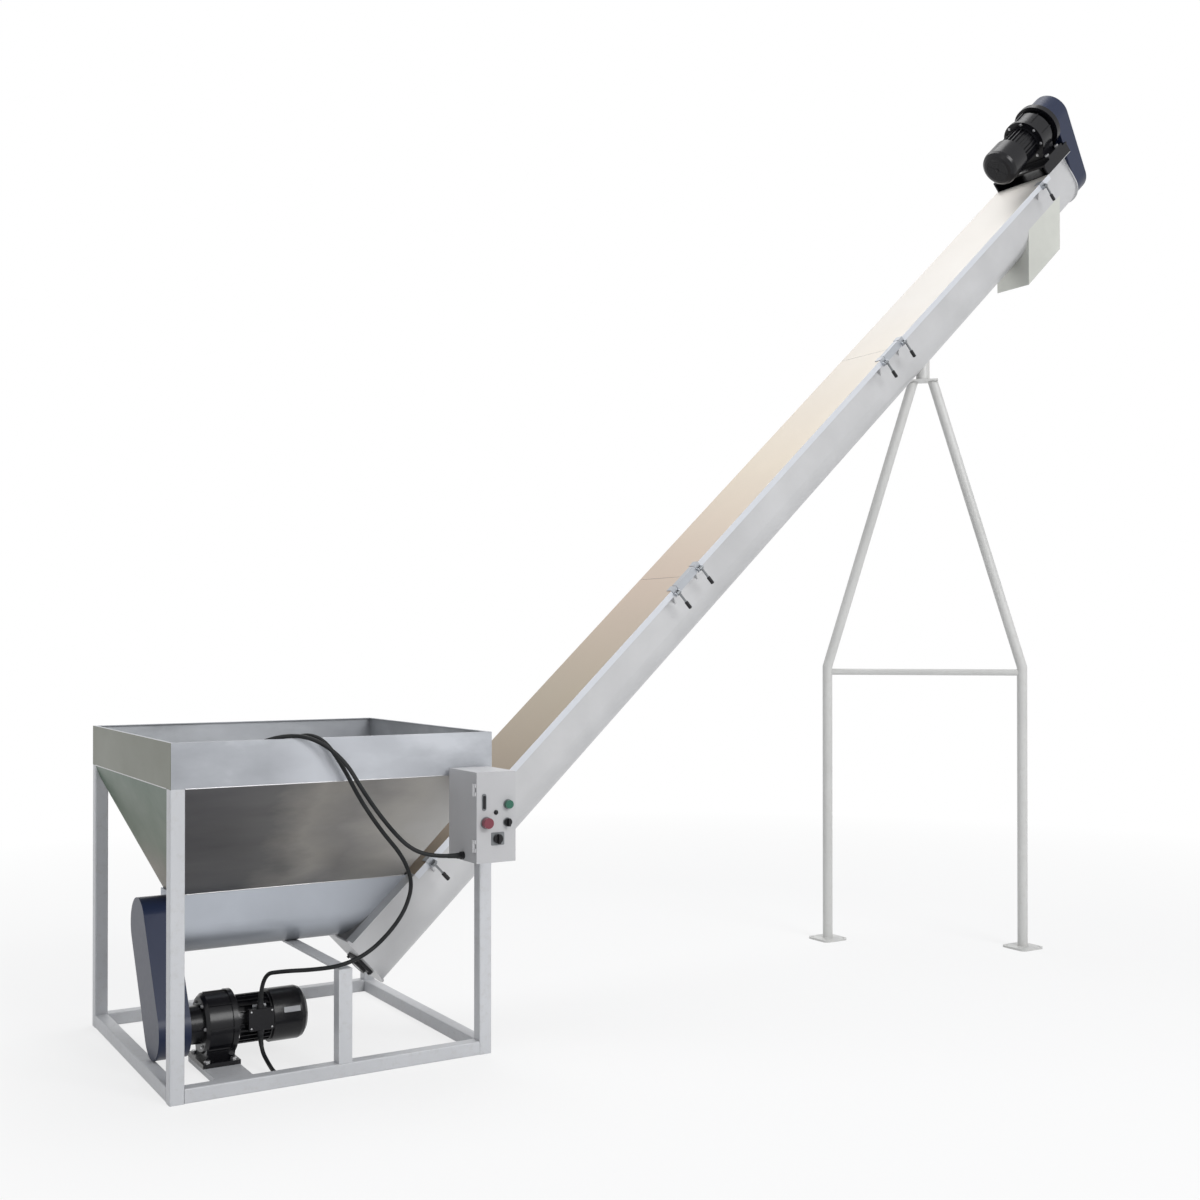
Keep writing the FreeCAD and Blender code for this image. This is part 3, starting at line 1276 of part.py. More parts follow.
def make_leads():
    """The lead from the control box over the hopper rim, back out and down to
    the lower motor, and the short earth lead from the motor to the front rail."""
    vec = FreeCAD.Vector
    box, top, under = gland_places()
    rim = frame_tall.value + cord_out.value + rim_gap.value
    route = [
        box.Base,
        box.multVec(vec(0, 0, 94)),
        vec(222, -702, 797),
        vec(140, -686, 885),
        vec(58, -670, 1002),
        vec(-12, -652, 1128),
        vec(-120, -622, rim),
        vec(-225, -562, rim),
        vec(-330, -556, 1165),
        vec(-395, -558, 1105),
        vec(-402, -538, 1010),
        vec(-312, -499, 978),
        vec(-224, -538, 1012),
        vec(-205, -556, 1110),
        vec(-165, -560, rim),
        vec(-80, -610, rim),
        vec(-4, -620, 1100),
        vec(62, -618, 976),
        vec(143, -620, 860),
        vec(222, -621, 768),
        vec(262, -621, 672),
        vec(238, -618, 580),
        vec(180, -615, 502),
        vec(95, -612, 432),
        vec(-2, -604, 397),
        vec(-95, -560, 386),
        vec(-158, -452, 368),
        top.multVec(vec(0, 0, 122)),
        top.Base]
    lead = doc.addObject("Part::Feature", "control_lead")
    lead.Shape = lead_solid(route)
    keep(lead, "control_lead")
    rail = vec(-204, -half_wide.value + tube.value, tube.value / 2)
    route = [
        under.Base,
        under.multVec(vec(0, 0, 70)),
        vec(-190, -388, 24),
        vec(rail.x, -488, rail.z),
        rail]
    lead = doc.addObject("Part::Feature", "earth_lead")
    lead.Shape = lead_solid(route)
    keep(lead, "earth_lead")


def write_parts():
    """Checks every sub-part and writes one file per node."""
    doc.recompute()
    os.makedirs("parts", exist_ok=True)
    for item in doc.Objects:
        if "Invalid" in item.State or "Error" in item.State:
            raise RuntimeError("failed feature: " + item.Name + " " + item.Label)
    for item in parts:
        shape = item.Shape
        if shape.isNull() or not shape.isValid() or not shape.Solids:
            raise RuntimeError("bad shape: " + item.Label)
        shape.exportStep("parts/" + item.Label + ".step")
        print(item.Label, len(shape.Solids), round(shape.Volume / 1000.0, 1))
    print("sub-parts", len(parts))


make_frame()
make_hopper()
make_feed_trough()
make_incline()
make_spout()
make_screws()
make_bearings()
make_drives()
make_stand()
make_latches()
make_box()
make_leads()
write_parts()
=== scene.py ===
import bpy
import bmesh
import json
import math
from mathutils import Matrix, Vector


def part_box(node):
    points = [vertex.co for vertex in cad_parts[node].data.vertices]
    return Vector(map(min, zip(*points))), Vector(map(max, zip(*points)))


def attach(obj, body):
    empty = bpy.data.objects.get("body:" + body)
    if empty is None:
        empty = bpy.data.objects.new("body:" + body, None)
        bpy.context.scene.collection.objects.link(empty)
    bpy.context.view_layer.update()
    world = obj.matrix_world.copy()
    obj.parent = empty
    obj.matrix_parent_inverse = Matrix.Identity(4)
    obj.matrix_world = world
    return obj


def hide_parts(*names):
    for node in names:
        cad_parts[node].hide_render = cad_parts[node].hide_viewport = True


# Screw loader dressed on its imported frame. Metres, +Z up, the origin on the
# floor under the middle of the hopper frame, +X towards the head.

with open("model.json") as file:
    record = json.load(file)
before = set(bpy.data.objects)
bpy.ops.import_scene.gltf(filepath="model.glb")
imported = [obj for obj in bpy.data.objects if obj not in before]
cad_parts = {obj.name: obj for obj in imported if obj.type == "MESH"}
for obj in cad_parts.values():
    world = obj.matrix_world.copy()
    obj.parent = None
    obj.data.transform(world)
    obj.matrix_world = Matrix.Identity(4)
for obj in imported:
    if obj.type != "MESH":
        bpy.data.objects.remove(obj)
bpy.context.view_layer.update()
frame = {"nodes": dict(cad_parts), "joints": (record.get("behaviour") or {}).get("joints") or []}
nodes = frame["nodes"]
joints = {joint["name"]: joint for joint in frame["joints"]}

# Slope frame of the inclined trough: X along its screw, Z square to its lids
SLOPE_X = Vector(joints["incline_screw_turn"]["axis"]).normalized()
SLOPE_Z = SLOPE_X.cross(Vector((0, 1, 0))).normalized()
TURN_SLOPE = (0, math.radians(43.02), 0)


# Shader helpers


def add_node(tree, kind, **inputs):
    """A node whose named inputs are linked from sockets or set to values."""
    made = tree.nodes.new(kind)
    for key, value in inputs.items():
        socket = made.inputs[key.replace("_", " ")]
        if isinstance(value, bpy.types.NodeSocket):
            tree.links.new(value, socket)
        else:
            socket.default_value = value
    return made


def add_math(tree, operation, one, two):
    """The sum, product or maximum of two sockets."""
    made = tree.nodes.new("ShaderNodeMath")
    made.operation = operation
    tree.links.new(one, made.inputs[0])
    tree.links.new(two, made.inputs[1])
    return made.outputs[0]


def scaled(color, by):
    """A colour made darker or lighter, up to full white."""
    return tuple(min(1.0, c * by) for c in color)


class Shader:
    """A material with its principled shader and short ways to add nodes."""

    def __init__(self, name, color, metallic=0.0, shine=0.5):
        self.mat = bpy.data.materials.new(name)
        self.mat.use_nodes = True
        self.tree = self.mat.node_tree
        self.bsdf = self.tree.nodes["Principled BSDF"]
        self.bsdf.inputs["Base Color"].default_value = (*color, 1)
        self.bsdf.inputs["Metallic"].default_value = metallic
        self.bsdf.inputs["Specular IOR Level"].default_value = shine

    def node(self, kind, **inputs):
        return add_node(self.tree, kind, **inputs)

    def place(self, scale=(1, 1, 1), turn=(0, 0, 0)):
        """Object coordinates, scaled and turned."""
        coords = self.node("ShaderNodeTexCoord")
        return self.node("ShaderNodeMapping", Scale=scale, Rotation=turn,
                         Vector=coords.outputs["Object"]).outputs["Vector"]

    def noise(self, where, scale, detail=4.0, roughness=0.5):
        return self.node("ShaderNodeTexNoise", Scale=scale, Detail=detail,
                         Roughness=roughness, Vector=where).outputs["Fac"]

    def ramp(self, value, stops):
        """A colour ramp of (place, colour) stops."""
        made = self.node("ShaderNodeValToRGB", Fac=value)
        points = made.color_ramp.elements
        for point, (at, color) in ((points[0], stops[0]), (points[1], stops[-1])):
            point.position = at
            point.color = (*color, 1)
        for at, color in stops[1:-1]:
            points.new(at).color = (*color, 1)
        return made.outputs["Color"]

    def mix(self, amount, one, two):
        """A blend of two colours or values by an amount, each a socket or a constant."""
        made = self.node("ShaderNodeMix")
        made.data_type = "RGBA"
        for value, socket in ((amount, made.inputs[0]), (one, made.inputs[6]),
                              (two, made.inputs[7])):
            if isinstance(value, bpy.types.NodeSocket):
                self.tree.links.new(value, socket)
            elif isinstance(value, tuple):
                socket.default_value = (*value, 1)
            else:
                socket.default_value = value
        return made.outputs[2]

    def span(self, value, low, high):
        """A value from 0 to 1 stretched to low to high."""
        return self.node("ShaderNodeMapRange", To_Min=low, To_Max=high,
                         Value=value).outputs["Result"]

    def along(self, axis, low, high):
        """A value from 0 to 1 as a place runs from low to high along an axis."""
        coords = self.node("ShaderNodeTexCoord")
        split = self.node("ShaderNodeSeparateXYZ", Vector=coords.outputs["Object"])
        return self.node("ShaderNodeMapRange", From_Min=low, From_Max=high,
                         Value=split.outputs[axis]).outputs["Result"]

    def surface(self, base, rough, grain, strength, distance):
        """Links the base colour, the roughness and a fine bump, in metres."""
        self.tree.links.new(base, self.bsdf.inputs["Base Color"])
        self.tree.links.new(rough, self.bsdf.inputs["Roughness"])
        bump = self.node("ShaderNodeBump", Strength=strength, Distance=distance, Height=grain)
        self.tree.links.new(bump.outputs["Normal"], self.bsdf.inputs["Normal"])
        return self.mat


# Materials

SCRATCHES = (6, 260, 260)


def brushed(name, color, turn, metallic=0.45, rough=(0.28, 0.46), under=None):
    """Brushed sheet: fine scratches along one way, faint clouds and smears. Where under gives
    two heights, in metres, the sheet is painted darker below them as painted shade on a round
    bottom."""
    made = Shader(name, color, metallic)
    fine = made.noise(made.place(SCRATCHES, turn), 6.0, 6.0, 0.6)
    cloud = made.noise(made.place(), 3.2, 5.0, 0.55)
    smear = made.noise(made.place((2, 7, 7), turn), 2.4, 3.0)
    dark = scaled(color, 0.90)
    light = scaled(color, 1.06)
    base = made.ramp(cloud, [(0.3, dark), (0.7, light)])
    base = made.mix(0.10, base, made.ramp(fine, [(0.35, dark), (0.65, light)]))
    # Painted shade: the sheet goes darker below the two heights in under
    if under is not None:
        base = made.mix(made.along("Z", *under), scaled(color, 0.42), base)
    rougher = made.mix(0.5, fine, smear)
    return made.surface(base, made.span(rougher, *rough), fine, 0.05, 0.0003)


def lid_sheet(name):
    """Lid sheet: its upward faces carry a painted reflection of the surroundings, warm and dark
    low down, paler towards the head, with blotches. The turned-down lips keep the colour of the
    trough."""
    made = Shader(name, (0.6, 0.5, 0.4), 0.25)
    fine = made.noise(made.place(SCRATCHES, TURN_SLOPE), 6.0, 6.0, 0.6)
    cloud = made.noise(made.place((0.5, 1.5, 1.5), TURN_SLOPE), 2.6, 5.0)
    # Painted reflection along the trough: warm and dark low down, paler towards the head
    reflection_tone = made.ramp(made.along("X", 0.4, 3.3), [
        (0.0, (0.25, 0.19, 0.13)), (0.10, (0.295, 0.225, 0.16)), (0.28, (0.46, 0.39, 0.295)),
        (0.47, (0.62, 0.50, 0.405)), (0.67, (0.72, 0.635, 0.52)), (1.0, (0.66, 0.635, 0.60))])
    # Blotches of painted reflection
    reflection_tone = made.mix(made.span(cloud, 0.0, 0.22), reflection_tone, (0.42, 0.37, 0.31))
    coords = made.node("ShaderNodeTexCoord")
    split = made.node("ShaderNodeSeparateXYZ", Vector=coords.outputs["Normal"])
    # Only the upward faces carry the painted reflection; the lips keep a steel colour
    facing_up = made.ramp(split.outputs["Z"], [(0.45, (0, 0, 0)), (0.55, (1, 1, 1))])
    base = made.mix(facing_up, (0.64, 0.66, 0.70), reflection_tone)
    return made.surface(base, made.span(fine, 0.34, 0.5), fine, 0.05, 0.0003)


def rim_sheet(name):
    """Rim band: bluish sheet with pale clouds, a pale band across the middle of its length as a
    painted reflection, and the left face dark green as painted shade.
    """
    made = Shader(name, (0.5, 0.5, 0.5), 0.15, 0.3)
    cloud = made.noise(made.place((1.0, 1.0, 2.0)), 2.3, 6.0, 0.55)
    fine = made.noise(made.place((6, 6, 260)), 6.0, 6.0, 0.6)
    # Painted reflection: a pale band across the middle of the band's length
    middle = made.ramp(made.along("X", -0.6, 0.6), [
        (0.0, (0, 0, 0)), (0.28, (0.1, 0.1, 0.1)), (0.42, (1, 1, 1)),
        (0.55, (0.75, 0.75, 0.75)), (0.78, (0.35, 0.35, 0.35)), (1.0, (0.1, 0.1, 0.1))])
    base = made.ramp(cloud, [(0.32, (0.29, 0.30, 0.325)), (0.52, (0.37, 0.385, 0.41)),
                             (0.68, (0.60, 0.62, 0.65))])
    base = made.mix(made.mix(0.35, middle, cloud), base, (0.60, 0.62, 0.66))
    # Painted shade: the left face dark green
    left = made.ramp(made.along("X", -0.596, -0.590), [(0.4, (1, 1, 1)), (0.6, (0, 0, 0))])
    base = made.mix(left, base, (0.135, 0.145, 0.105))
    return made.surface(base, made.span(cloud, 0.26, 0.45), fine, 0.10, 0.0004)


def painted(name, color, rough=(0.3, 0.45), peel=0.10, coat=0.0, dust=None, shine=0.5):
    """Sprayed paint: orange peel, slight tone drift, dust where it settles."""
    made = Shader(name, color, shine=shine)
    where = made.place()
    cloud = made.noise(where, 2.2, 4.0)
    fine = made.noise(where, 180.0, 2.0)
    spots = made.noise(where, 36.0, 6.0, 0.7)
    base = made.ramp(cloud, [(0.3, scaled(color, 0.93)), (0.7, scaled(color, 1.04))])
    if dust is not None:
        amount = made.ramp(spots, [(0.52, (0, 0, 0)), (0.75, (0.35, 0.35, 0.35))])
        base = made.mix(amount, base, dust)
    made.bsdf.inputs["Coat Weight"].default_value = coat
    made.bsdf.inputs["Coat Roughness"].default_value = 0.12
    return made.surface(base, made.span(spots, *rough), fine, peel, 0.0006)


def rubber(name, color):
    """Black rubber with a dusty bloom and a fine grain."""
    made = Shader(name, color, shine=0.2)
    where = made.place()
    dustier = made.noise(where, 14.0, 5.0)
    grain = made.noise(where, 420.0, 2.0)
    base = made.ramp(dustier, [(0.35, color), (0.8, tuple(c + 0.02 for c in color))])
    return made.surface(base, made.span(dustier, 0.35, 0.6), grain, 0.15, 0.0003)


def plate_with_painted_light(name, stops, axis, low, high, metallic=0.35, shine=0.5):
    """Polished hopper sheet: tones that change across it, painted reflection and painted shade,
    with blots and streaks.
    """
    made = Shader(name, stops[0][1], metallic, shine)
    blot = made.noise(made.place((0.7, 1.0, 1.5)), 2.6, 7.0, 0.6)
    streak = made.noise(made.place((1.5, 1.5, 9)), 2.0, 4.0)
    shift = add_math(made.tree, "ADD", made.along(axis, low, high),
                     made.span(blot, -0.30, 0.30))
    base = made.ramp(shift, stops)
    base = made.mix(made.span(blot, 0.0, 0.20), base, scaled(stops[0][1], 0.55))
    base = made.mix(made.span(streak, 0.0, 0.14), base, stops[-1][1])
    return made.surface(base, made.span(blot, 0.24, 0.5), streak, 0.06, 0.0008)


MAT = {
    "steel_level": brushed("steel_level", (0.45, 0.48, 0.53), (0, 0, 0)),
    # The level trough is painted darker low down, as painted shade on its round bottom
    "steel_feed": brushed("steel_feed", (0.47, 0.50, 0.55), (0, 0, 0), 0.35,
                          under=(0.395, 0.455)),
    "steel_slope": brushed("steel_slope", (0.56, 0.562, 0.57), TURN_SLOPE),
    "steel_lid": lid_sheet("steel_lid"),
    "steel_rim": rim_sheet("steel_rim"),
    "steel_spout": brushed("steel_spout", (0.62, 0.63, 0.585), (0, math.pi / 2, 0), 0.3),
    "steel_strap": brushed("steel_strap", (0.42, 0.44, 0.47), TURN_SLOPE, 0.6),
    # Painted reflection on the front sheet: dark to the left, paler to the right
    "hopper_front": plate_with_painted_light("hopper_front", [
        (0.0, (0.075, 0.074, 0.080)), (0.28, (0.10, 0.098, 0.098)),
        (0.45, (0.28, 0.262, 0.235)), (0.60, (0.22, 0.21, 0.20)),
        (0.80, (0.40, 0.38, 0.35)), (1.0, (0.52, 0.51, 0.49))],
        "X", -0.5, 0.55),
    # Painted shade and reflection on the left sheet: dark, brown low down, greener higher up
    "hopper_left": plate_with_painted_light("hopper_left", [
        (0.0, (0.17, 0.14, 0.10)), (0.4, (0.115, 0.15, 0.10)), (1.0, (0.07, 0.125, 0.085))],
        "Z", 0.65, 1.05, 0.05, 0.2),
    # Painted shade inside the hopper: darker lower down, paler towards the rim
    "hopper_inner": plate_with_painted_light("hopper_inner", [
        (0.0, (0.20, 0.20, 0.19)), (0.5, (0.36, 0.36, 0.35)), (1.0, (0.48, 0.48, 0.46))],
        "Z", 0.6, 1.05),
    "frame_paint": painted("frame_paint", (0.60, 0.61, 0.63), dust=(0.42, 0.40, 0.37)),
    "stand_paint": painted("stand_paint", (0.62, 0.62, 0.605), dust=(0.48, 0.46, 0.43)),
    "navy": painted("navy", (0.014, 0.022, 0.055), (0.3, 0.40), 0.02, shine=0.3),
    "motor_black": painted("motor_black", (0.006, 0.006, 0.008), (0.2, 0.30), 0.015,
                           shine=0.3),
    "box_grey": painted("box_grey", (0.52, 0.52, 0.53), (0.35, 0.5), 0.25),
    "iron": painted("iron", (0.04, 0.04, 0.042), (0.4, 0.6), 0.4, shine=0.3),
    "bright": brushed("bright", (0.55, 0.55, 0.56), (0, 0, 0), 0.9, (0.2, 0.4)),
    "dull": brushed("dull", (0.20, 0.21, 0.22), (0, 0, 0), 0.8, (0.35, 0.5)),
    "plate": painted("plate", (0.45, 0.46, 0.48), (0.3, 0.4), 0.1),
    "red": painted("red", (0.19, 0.03, 0.05), (0.25, 0.35), 0.02, 0.2),
    "green": painted("green", (0.014, 0.12, 0.075), (0.25, 0.35), 0.02, 0.2),
    "black": painted("black", (0.012, 0.012, 0.014), (0.3, 0.45), 0.1, shine=0.3),
    "rubber": rubber("rubber", (0.008, 0.009, 0.010)),
}

PAINT = {
    "steel_rim": ["rim_band"],
    "steel_feed": ["feed_trough"],
    "steel_level": ["feed_end_plate", "feed_screw"],
    "steel_slope": ["incline_trough", "incline_foot_plate", "head_plate", "incline_screw"],
    "steel_strap": ["lid_fittings"],
    "steel_lid": ["lid_lower", "lid_middle", "lid_upper"],
    "steel_spout": ["spout"],
    "hopper_front": ["hopper_front"],
    "hopper_inner": ["hopper_rear", "hopper_right"],
    "hopper_left": ["hopper_left"],
    "frame_paint": ["post_front_left", "post_front_right", "post_rear_left",
                    "post_rear_right", "floor_rails", "mid_post", "floor_plate", "box_rails"],
    "stand_paint": ["stand_leg_left", "stand_leg_right", "stand_brace", "stand_socket",
                    "stand_foot_plates"],
    "navy": ["guard_backs", "lower_guard_cover", "upper_guard_cover"],
    "motor_black": ["lower_reducer", "upper_reducer", "lower_motor", "upper_motor",
                    "drive_seat"],
    "box_grey": ["control_box", "box_door"],
    "iron": ["flange_bearings"],
    "bright": ["lower_pinion", "upper_pinion", "lower_sprocket", "upper_sprocket", "chains",
               "foot_bolts"],
    "dull": ["latch_lever_1", "latch_lever_2", "latch_lever_3", "latch_lever_4",
             "latch_lever_5", "latch_lever_6"],
    "red": ["stop_button"],
    "green": ["start_button"],
    "black": ["selector_knob", "power_switch", "cable_glands"],
    "rubber": ["control_lead", "earth_lead"],
}

NO_BEVEL = ("screw", "chains", "lead", "sprocket", "pinion")
EDGE_RADIUS = 0.0012
EDGE_ANGLE = math.radians(40)


def dress(name, mat):
    """Gives a carried node its material, small edge radii and smooth rounds."""
    obj = nodes[name]
    obj.data.materials.clear()
    obj.data.materials.append(mat)
    if any(word in name for word in NO_BEVEL):
        return
    bevel = obj.modifiers.new("edges", "BEVEL")
    bevel.width = EDGE_RADIUS
    bevel.segments = 2
    bevel.limit_method = "ANGLE"
    bevel.angle_limit = EDGE_ANGLE
    bevel.harden_normals = False


for key, names in PAINT.items():
    for name in names:
        dress(name, MAT[key])


# Leads, on the route that the frame carries. Each route is given in millimetres.


def millimetres(points):
    """Places in metres from places in millimetres."""
    return [Vector(p) / 1000 for p in points]


# Height of a lead's middle where it lies over the hopper's rim
RIM = 1209.5
CONTROL_ROUTE = millimetres([
    (410, -731, 770), (316, -731, 770), (222, -702, 797), (140, -686, 885), (58, -670, 1002),
    (-12, -652, 1128), (-120, -622, RIM), (-225, -562, RIM), (-330, -556, 1165),
    (-395, -558, 1105), (-402, -538, 1010), (-312, -499, 978), (-224, -538, 1012),
    (-205, -556, 1110), (-165, -560, RIM), (-80, -610, RIM), (-4, -620, 1100),
    (62, -618, 976), (143, -620, 860), (222, -621, 768), (262, -621, 672), (238, -618, 580),
    (180, -615, 502), (95, -612, 432), (-2, -604, 397), (-95, -560, 386), (-158, -452, 368),
    (-196, -305, 332), (-196, -305, 210)])
EARTH_ROUTE = millimetres([
    (-196, -305, 136), (-196, -305, 66), (-190, -388, 24), (-204, -488, 25),
    (-204, -541, 25)])
LEAD_ACROSS = 0.015


def lead(name, route, node):
    """A lead as one smooth spline with the route's points as its controls."""
    curve = bpy.data.curves.new(name, "CURVE")
    curve.dimensions = "3D"
    curve.bevel_depth = LEAD_ACROSS / 2
    curve.bevel_resolution = 6
    curve.resolution_u = 16
    curve.use_fill_caps = True
    spline = curve.splines.new("NURBS")
    spline.points.add(len(route) - 1)
    for point, place in zip(spline.points, route):
        point.co = (*place, 1)
    spline.order_u = 3
    spline.use_endpoint_u = True
    obj = bpy.data.objects.new(name, curve)
    bpy.context.scene.collection.objects.link(obj)
    curve.materials.append(MAT["rubber"])
    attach(obj, "base")
    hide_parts(node)
    return obj


def spline_spots(obj):
    """Points of the spline as Blender draws it, with no bevel."""
    line = obj.copy()
    line.data = obj.data.copy()
    line.data.bevel_depth = 0
    bpy.context.scene.collection.objects.link(line)
    mesh = bpy.data.meshes.new_from_object(line.evaluated_get(
        bpy.context.evaluated_depsgraph_get()))
    spots = [v.co.copy() for v in mesh.vertices]
    bpy.data.objects.remove(line)
    return spots


control_lead = lead("control_lead_line", CONTROL_ROUTE, "control_lead")
earth_lead = lead("earth_lead_line", EARTH_ROUTE, "earth_lead")
control_spots = spline_spots(control_lead)
earth_spots = spline_spots(earth_lead)


# Camera, light and floor

CAMERA_AT = Vector((-1.8303, -5.3472, 1.5287))
CAMERA_TURN = (math.radians(90.41), 0, math.radians(-31.367))
camera = bpy.data.cameras.new("view")
camera.lens = 42.66
camera.sensor_width = 36
camera.shift_y = 0.028
camera.clip_end = 100
view = bpy.data.objects.new("view", camera)
view.location = CAMERA_AT
view.rotation_euler = CAMERA_TURN
bpy.context.scene.collection.objects.link(view)
bpy.context.scene.camera = view


def lamp(name, place, aim, across, power):
    """A round lamp at a place, turned to its aim."""
    light = bpy.data.lights.new(name, "AREA")
    light.shape = "DISK"
    light.size = across
    light.energy = power
    obj = bpy.data.objects.new(name, light)
    obj.location = place
    obj.rotation_euler = (Vector(aim) - Vector(place)).to_track_quat("-Z", "Y").to_euler()
    bpy.context.scene.collection.objects.link(obj)


lamp("key", (3.0, -11.0, 7.0), (1.5, 0, 1.5), 6.0, 690)
lamp("top", (2.0, 2.0, 9.0), (1.5, 0, 1.0), 6.0, 300)
lamp("fill", (-6.0, -4.0, 3.0), (0, 0, 1.0), 4.0, 25)


def seen_directly(tree):
    """1 for rays that see the surround itself: camera, glossy and clear ones."""
    ray = tree.nodes.new("ShaderNodeLightPath").outputs
    total = ray["Is Camera Ray"]
    for name in ("Is Glossy Ray", "Is Transmission Ray"):
        total = add_math(tree, "MAXIMUM", total, ray[name])
    return total


def make_world():
    """A plain bright surround, dimmer and warmer from below, that is seen as white."""
    world = bpy.data.worlds.new("studio")
    world.use_nodes = True
    bpy.context.scene.world = world
    tree = world.node_tree
    coords = tree.nodes.new("ShaderNodeTexCoord")
    split = add_node(tree, "ShaderNodeSeparateXYZ", Vector=coords.outputs["Generated"])
    height = add_node(tree, "ShaderNodeMapRange", Value=split.outputs["Z"], From_Min=-1)
    rise = add_node(tree, "ShaderNodeValToRGB", Fac=height.outputs["Result"])
    first, last = rise.color_ramp.elements
    first.color = (0.24, 0.235, 0.23, 1)
    last.color = (0.46, 0.47, 0.49, 1)
    pick = tree.nodes.new("ShaderNodeMix")
    pick.data_type = "RGBA"
    pick.inputs[7].default_value = (1, 1, 1, 1)
    tree.links.new(seen_directly(tree), pick.inputs[0])
    tree.links.new(rise.outputs["Color"], pick.inputs[6])
    tree.links.new(pick.outputs[2], tree.nodes["Background"].inputs["Color"])


FLOOR_HALF = 60.0
FLOOR_MIDDLE = (1.9, 0, 0)
FADE_FROM = 2.6
FADE_TO = 6.5


def make_floor():
    """A wide white floor that keeps the object's shadow near it and fades out."""
    mesh = bpy.data.meshes.new("floor")
    corners = ((-1, -1), (1, -1), (1, 1), (-1, 1))
    mesh.from_pydata([(FLOOR_HALF * x, FLOOR_HALF * y, 0) for x, y in corners],
                     [], [(0, 1, 2, 3)])
    floor = bpy.data.objects.new("floor", mesh)
    bpy.context.scene.collection.objects.link(floor)
    mat = bpy.data.materials.new("floor")
    mat.use_nodes = True
    tree = mat.node_tree
    matte = tree.nodes["Principled BSDF"]
    matte.inputs["Base Color"].default_value = (0.86, 0.86, 0.86, 1)
    matte.inputs["Roughness"].default_value = 0.9
    matte.inputs["Specular IOR Level"].default_value = 0.0
    white = add_node(tree, "ShaderNodeEmission", Strength=1.0)
    coords = tree.nodes.new("ShaderNodeTexCoord")
    away = tree.nodes.new("ShaderNodeVectorMath")
    away.operation = "DISTANCE"
    tree.links.new(coords.outputs["Object"], away.inputs[0])
    away.inputs[1].default_value = FLOOR_MIDDLE
    fade = add_node(tree, "ShaderNodeMapRange", Value=away.outputs["Value"],
                    From_Min=FADE_FROM, From_Max=FADE_TO, To_Min=0.74, To_Max=1.0)
    share = add_math(tree, "MULTIPLY", seen_directly(tree), fade.outputs["Result"])
    both = add_node(tree, "ShaderNodeMixShader", Fac=share)
    tree.links.new(matte.outputs["BSDF"], both.inputs[1])
    tree.links.new(white.outputs["Emission"], both.inputs[2])
    tree.links.new(both.outputs["Shader"], tree.nodes["Material Output"].inputs["Surface"])
    mesh.materials.append(mat)


make_world()
make_floor()
bpy.context.scene.view_settings.view_transform = "Standard"


# Helpers for the pieces made for the look

UP = Vector((0, 0, 1))
ACROSS = Vector((0, 1, 0))
RIGHT = Vector((1, 0, 0))


def settle(name, bm, mat, body="base", sharp=35):
    """Makes a piece of a bmesh and rides it on a body."""
    bmesh.ops.recalc_face_normals(bm, faces=bm.faces)
    mesh = bpy.data.meshes.new(name)
    bm.to_mesh(mesh)
    bm.free()
    mesh.shade_smooth()
    mesh.set_sharp_from_angle(angle=math.radians(sharp))
    mesh.materials.append(MAT[mat])
    obj = bpy.data.objects.new(name, mesh)
    bpy.context.scene.collection.objects.link(obj)
    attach(obj, body)


def skin(bm, loops):
    """A closed solid through loops of places, one after another."""
    made = [[bm.verts.new(place) for place in loop] for loop in loops]
    for one, two in zip(made[:-1], made[1:]):
        for i, vert in enumerate(one):
            j = (i + 1) % len(one)
            bm.faces.new((vert, one[j], two[j], two[i]))
    bm.faces.new(made[0])
    bm.faces.new(made[-1])


def circle(centre, axis, radius, sides):
    """Places on a circle about an axis."""
    side = axis.orthogonal().normalized()
    other = axis.cross(side).normalized()
    return [centre + radius * (math.cos(turn) * side + math.sin(turn) * other)
            for turn in (2 * math.pi * i / sides for i in range(sides))]


def turned(bm, at, axis, profile, sides):
    """A solid turned about an axis from (distance along it, radius) pairs."""
    skin(bm, [circle(at + axis * reach, axis, radius, sides) for reach, radius in profile])


def ring(bm, at, axis, radius, wire, sides=40, around=6):
    """A round wire bent to a circle about an axis."""
    made = []
    for place in circle(Vector((0, 0, 0)), axis, 1.0, sides):
        turns = (2 * math.pi * i / around for i in range(around))
        made.append([bm.verts.new(at + place * (radius + wire * math.cos(turn))
                                  + axis * wire * math.sin(turn)) for turn in turns])
    for i, row in enumerate(made):
        following = made[(i + 1) % sides]
        for j, vert in enumerate(row):
            k = (j + 1) % around
            bm.faces.new((vert, row[k], following[k], following[j]))


def plate(bm, centre, wide, tall, width, height, thick, corner, edge=0.0006):
    """A plate with round corners and a softened front, standing out from centre."""
    out = wide.cross(tall)

    def outline(shrink, reach):
        places = []
        for quarter, (side, rise) in enumerate(((1, 1), (-1, 1), (-1, -1), (1, -1))):
            for step in range(5):
                turn = (quarter + step / 4) * math.pi / 2
                x = side * (width / 2 - corner) + (corner - shrink) * math.cos(turn)
                y = rise * (height / 2 - corner) + (corner - shrink) * math.sin(turn)
                places.append(centre + wide * x + tall * y + out * reach)
        return places

    skin(bm, [outline(0, 0), outline(0, thick - edge), outline(edge, thick)])


WASHER = 0.0014
HEAD = 0.005
HEAD_CHAMFER = 0.0008


def hex_bolt(bm, at, axis, across):
    """A washer and a hexagon head across its flats."""
    turned(bm, at, axis, [(0, across * 0.72), (WASHER, across * 0.72)], 24)
    corner = across / math.sqrt(3)
    turned(bm, at + axis * WASHER, axis,
           [(0, corner), (HEAD - HEAD_CHAMFER, corner), (HEAD, corner * 0.86)], 6)


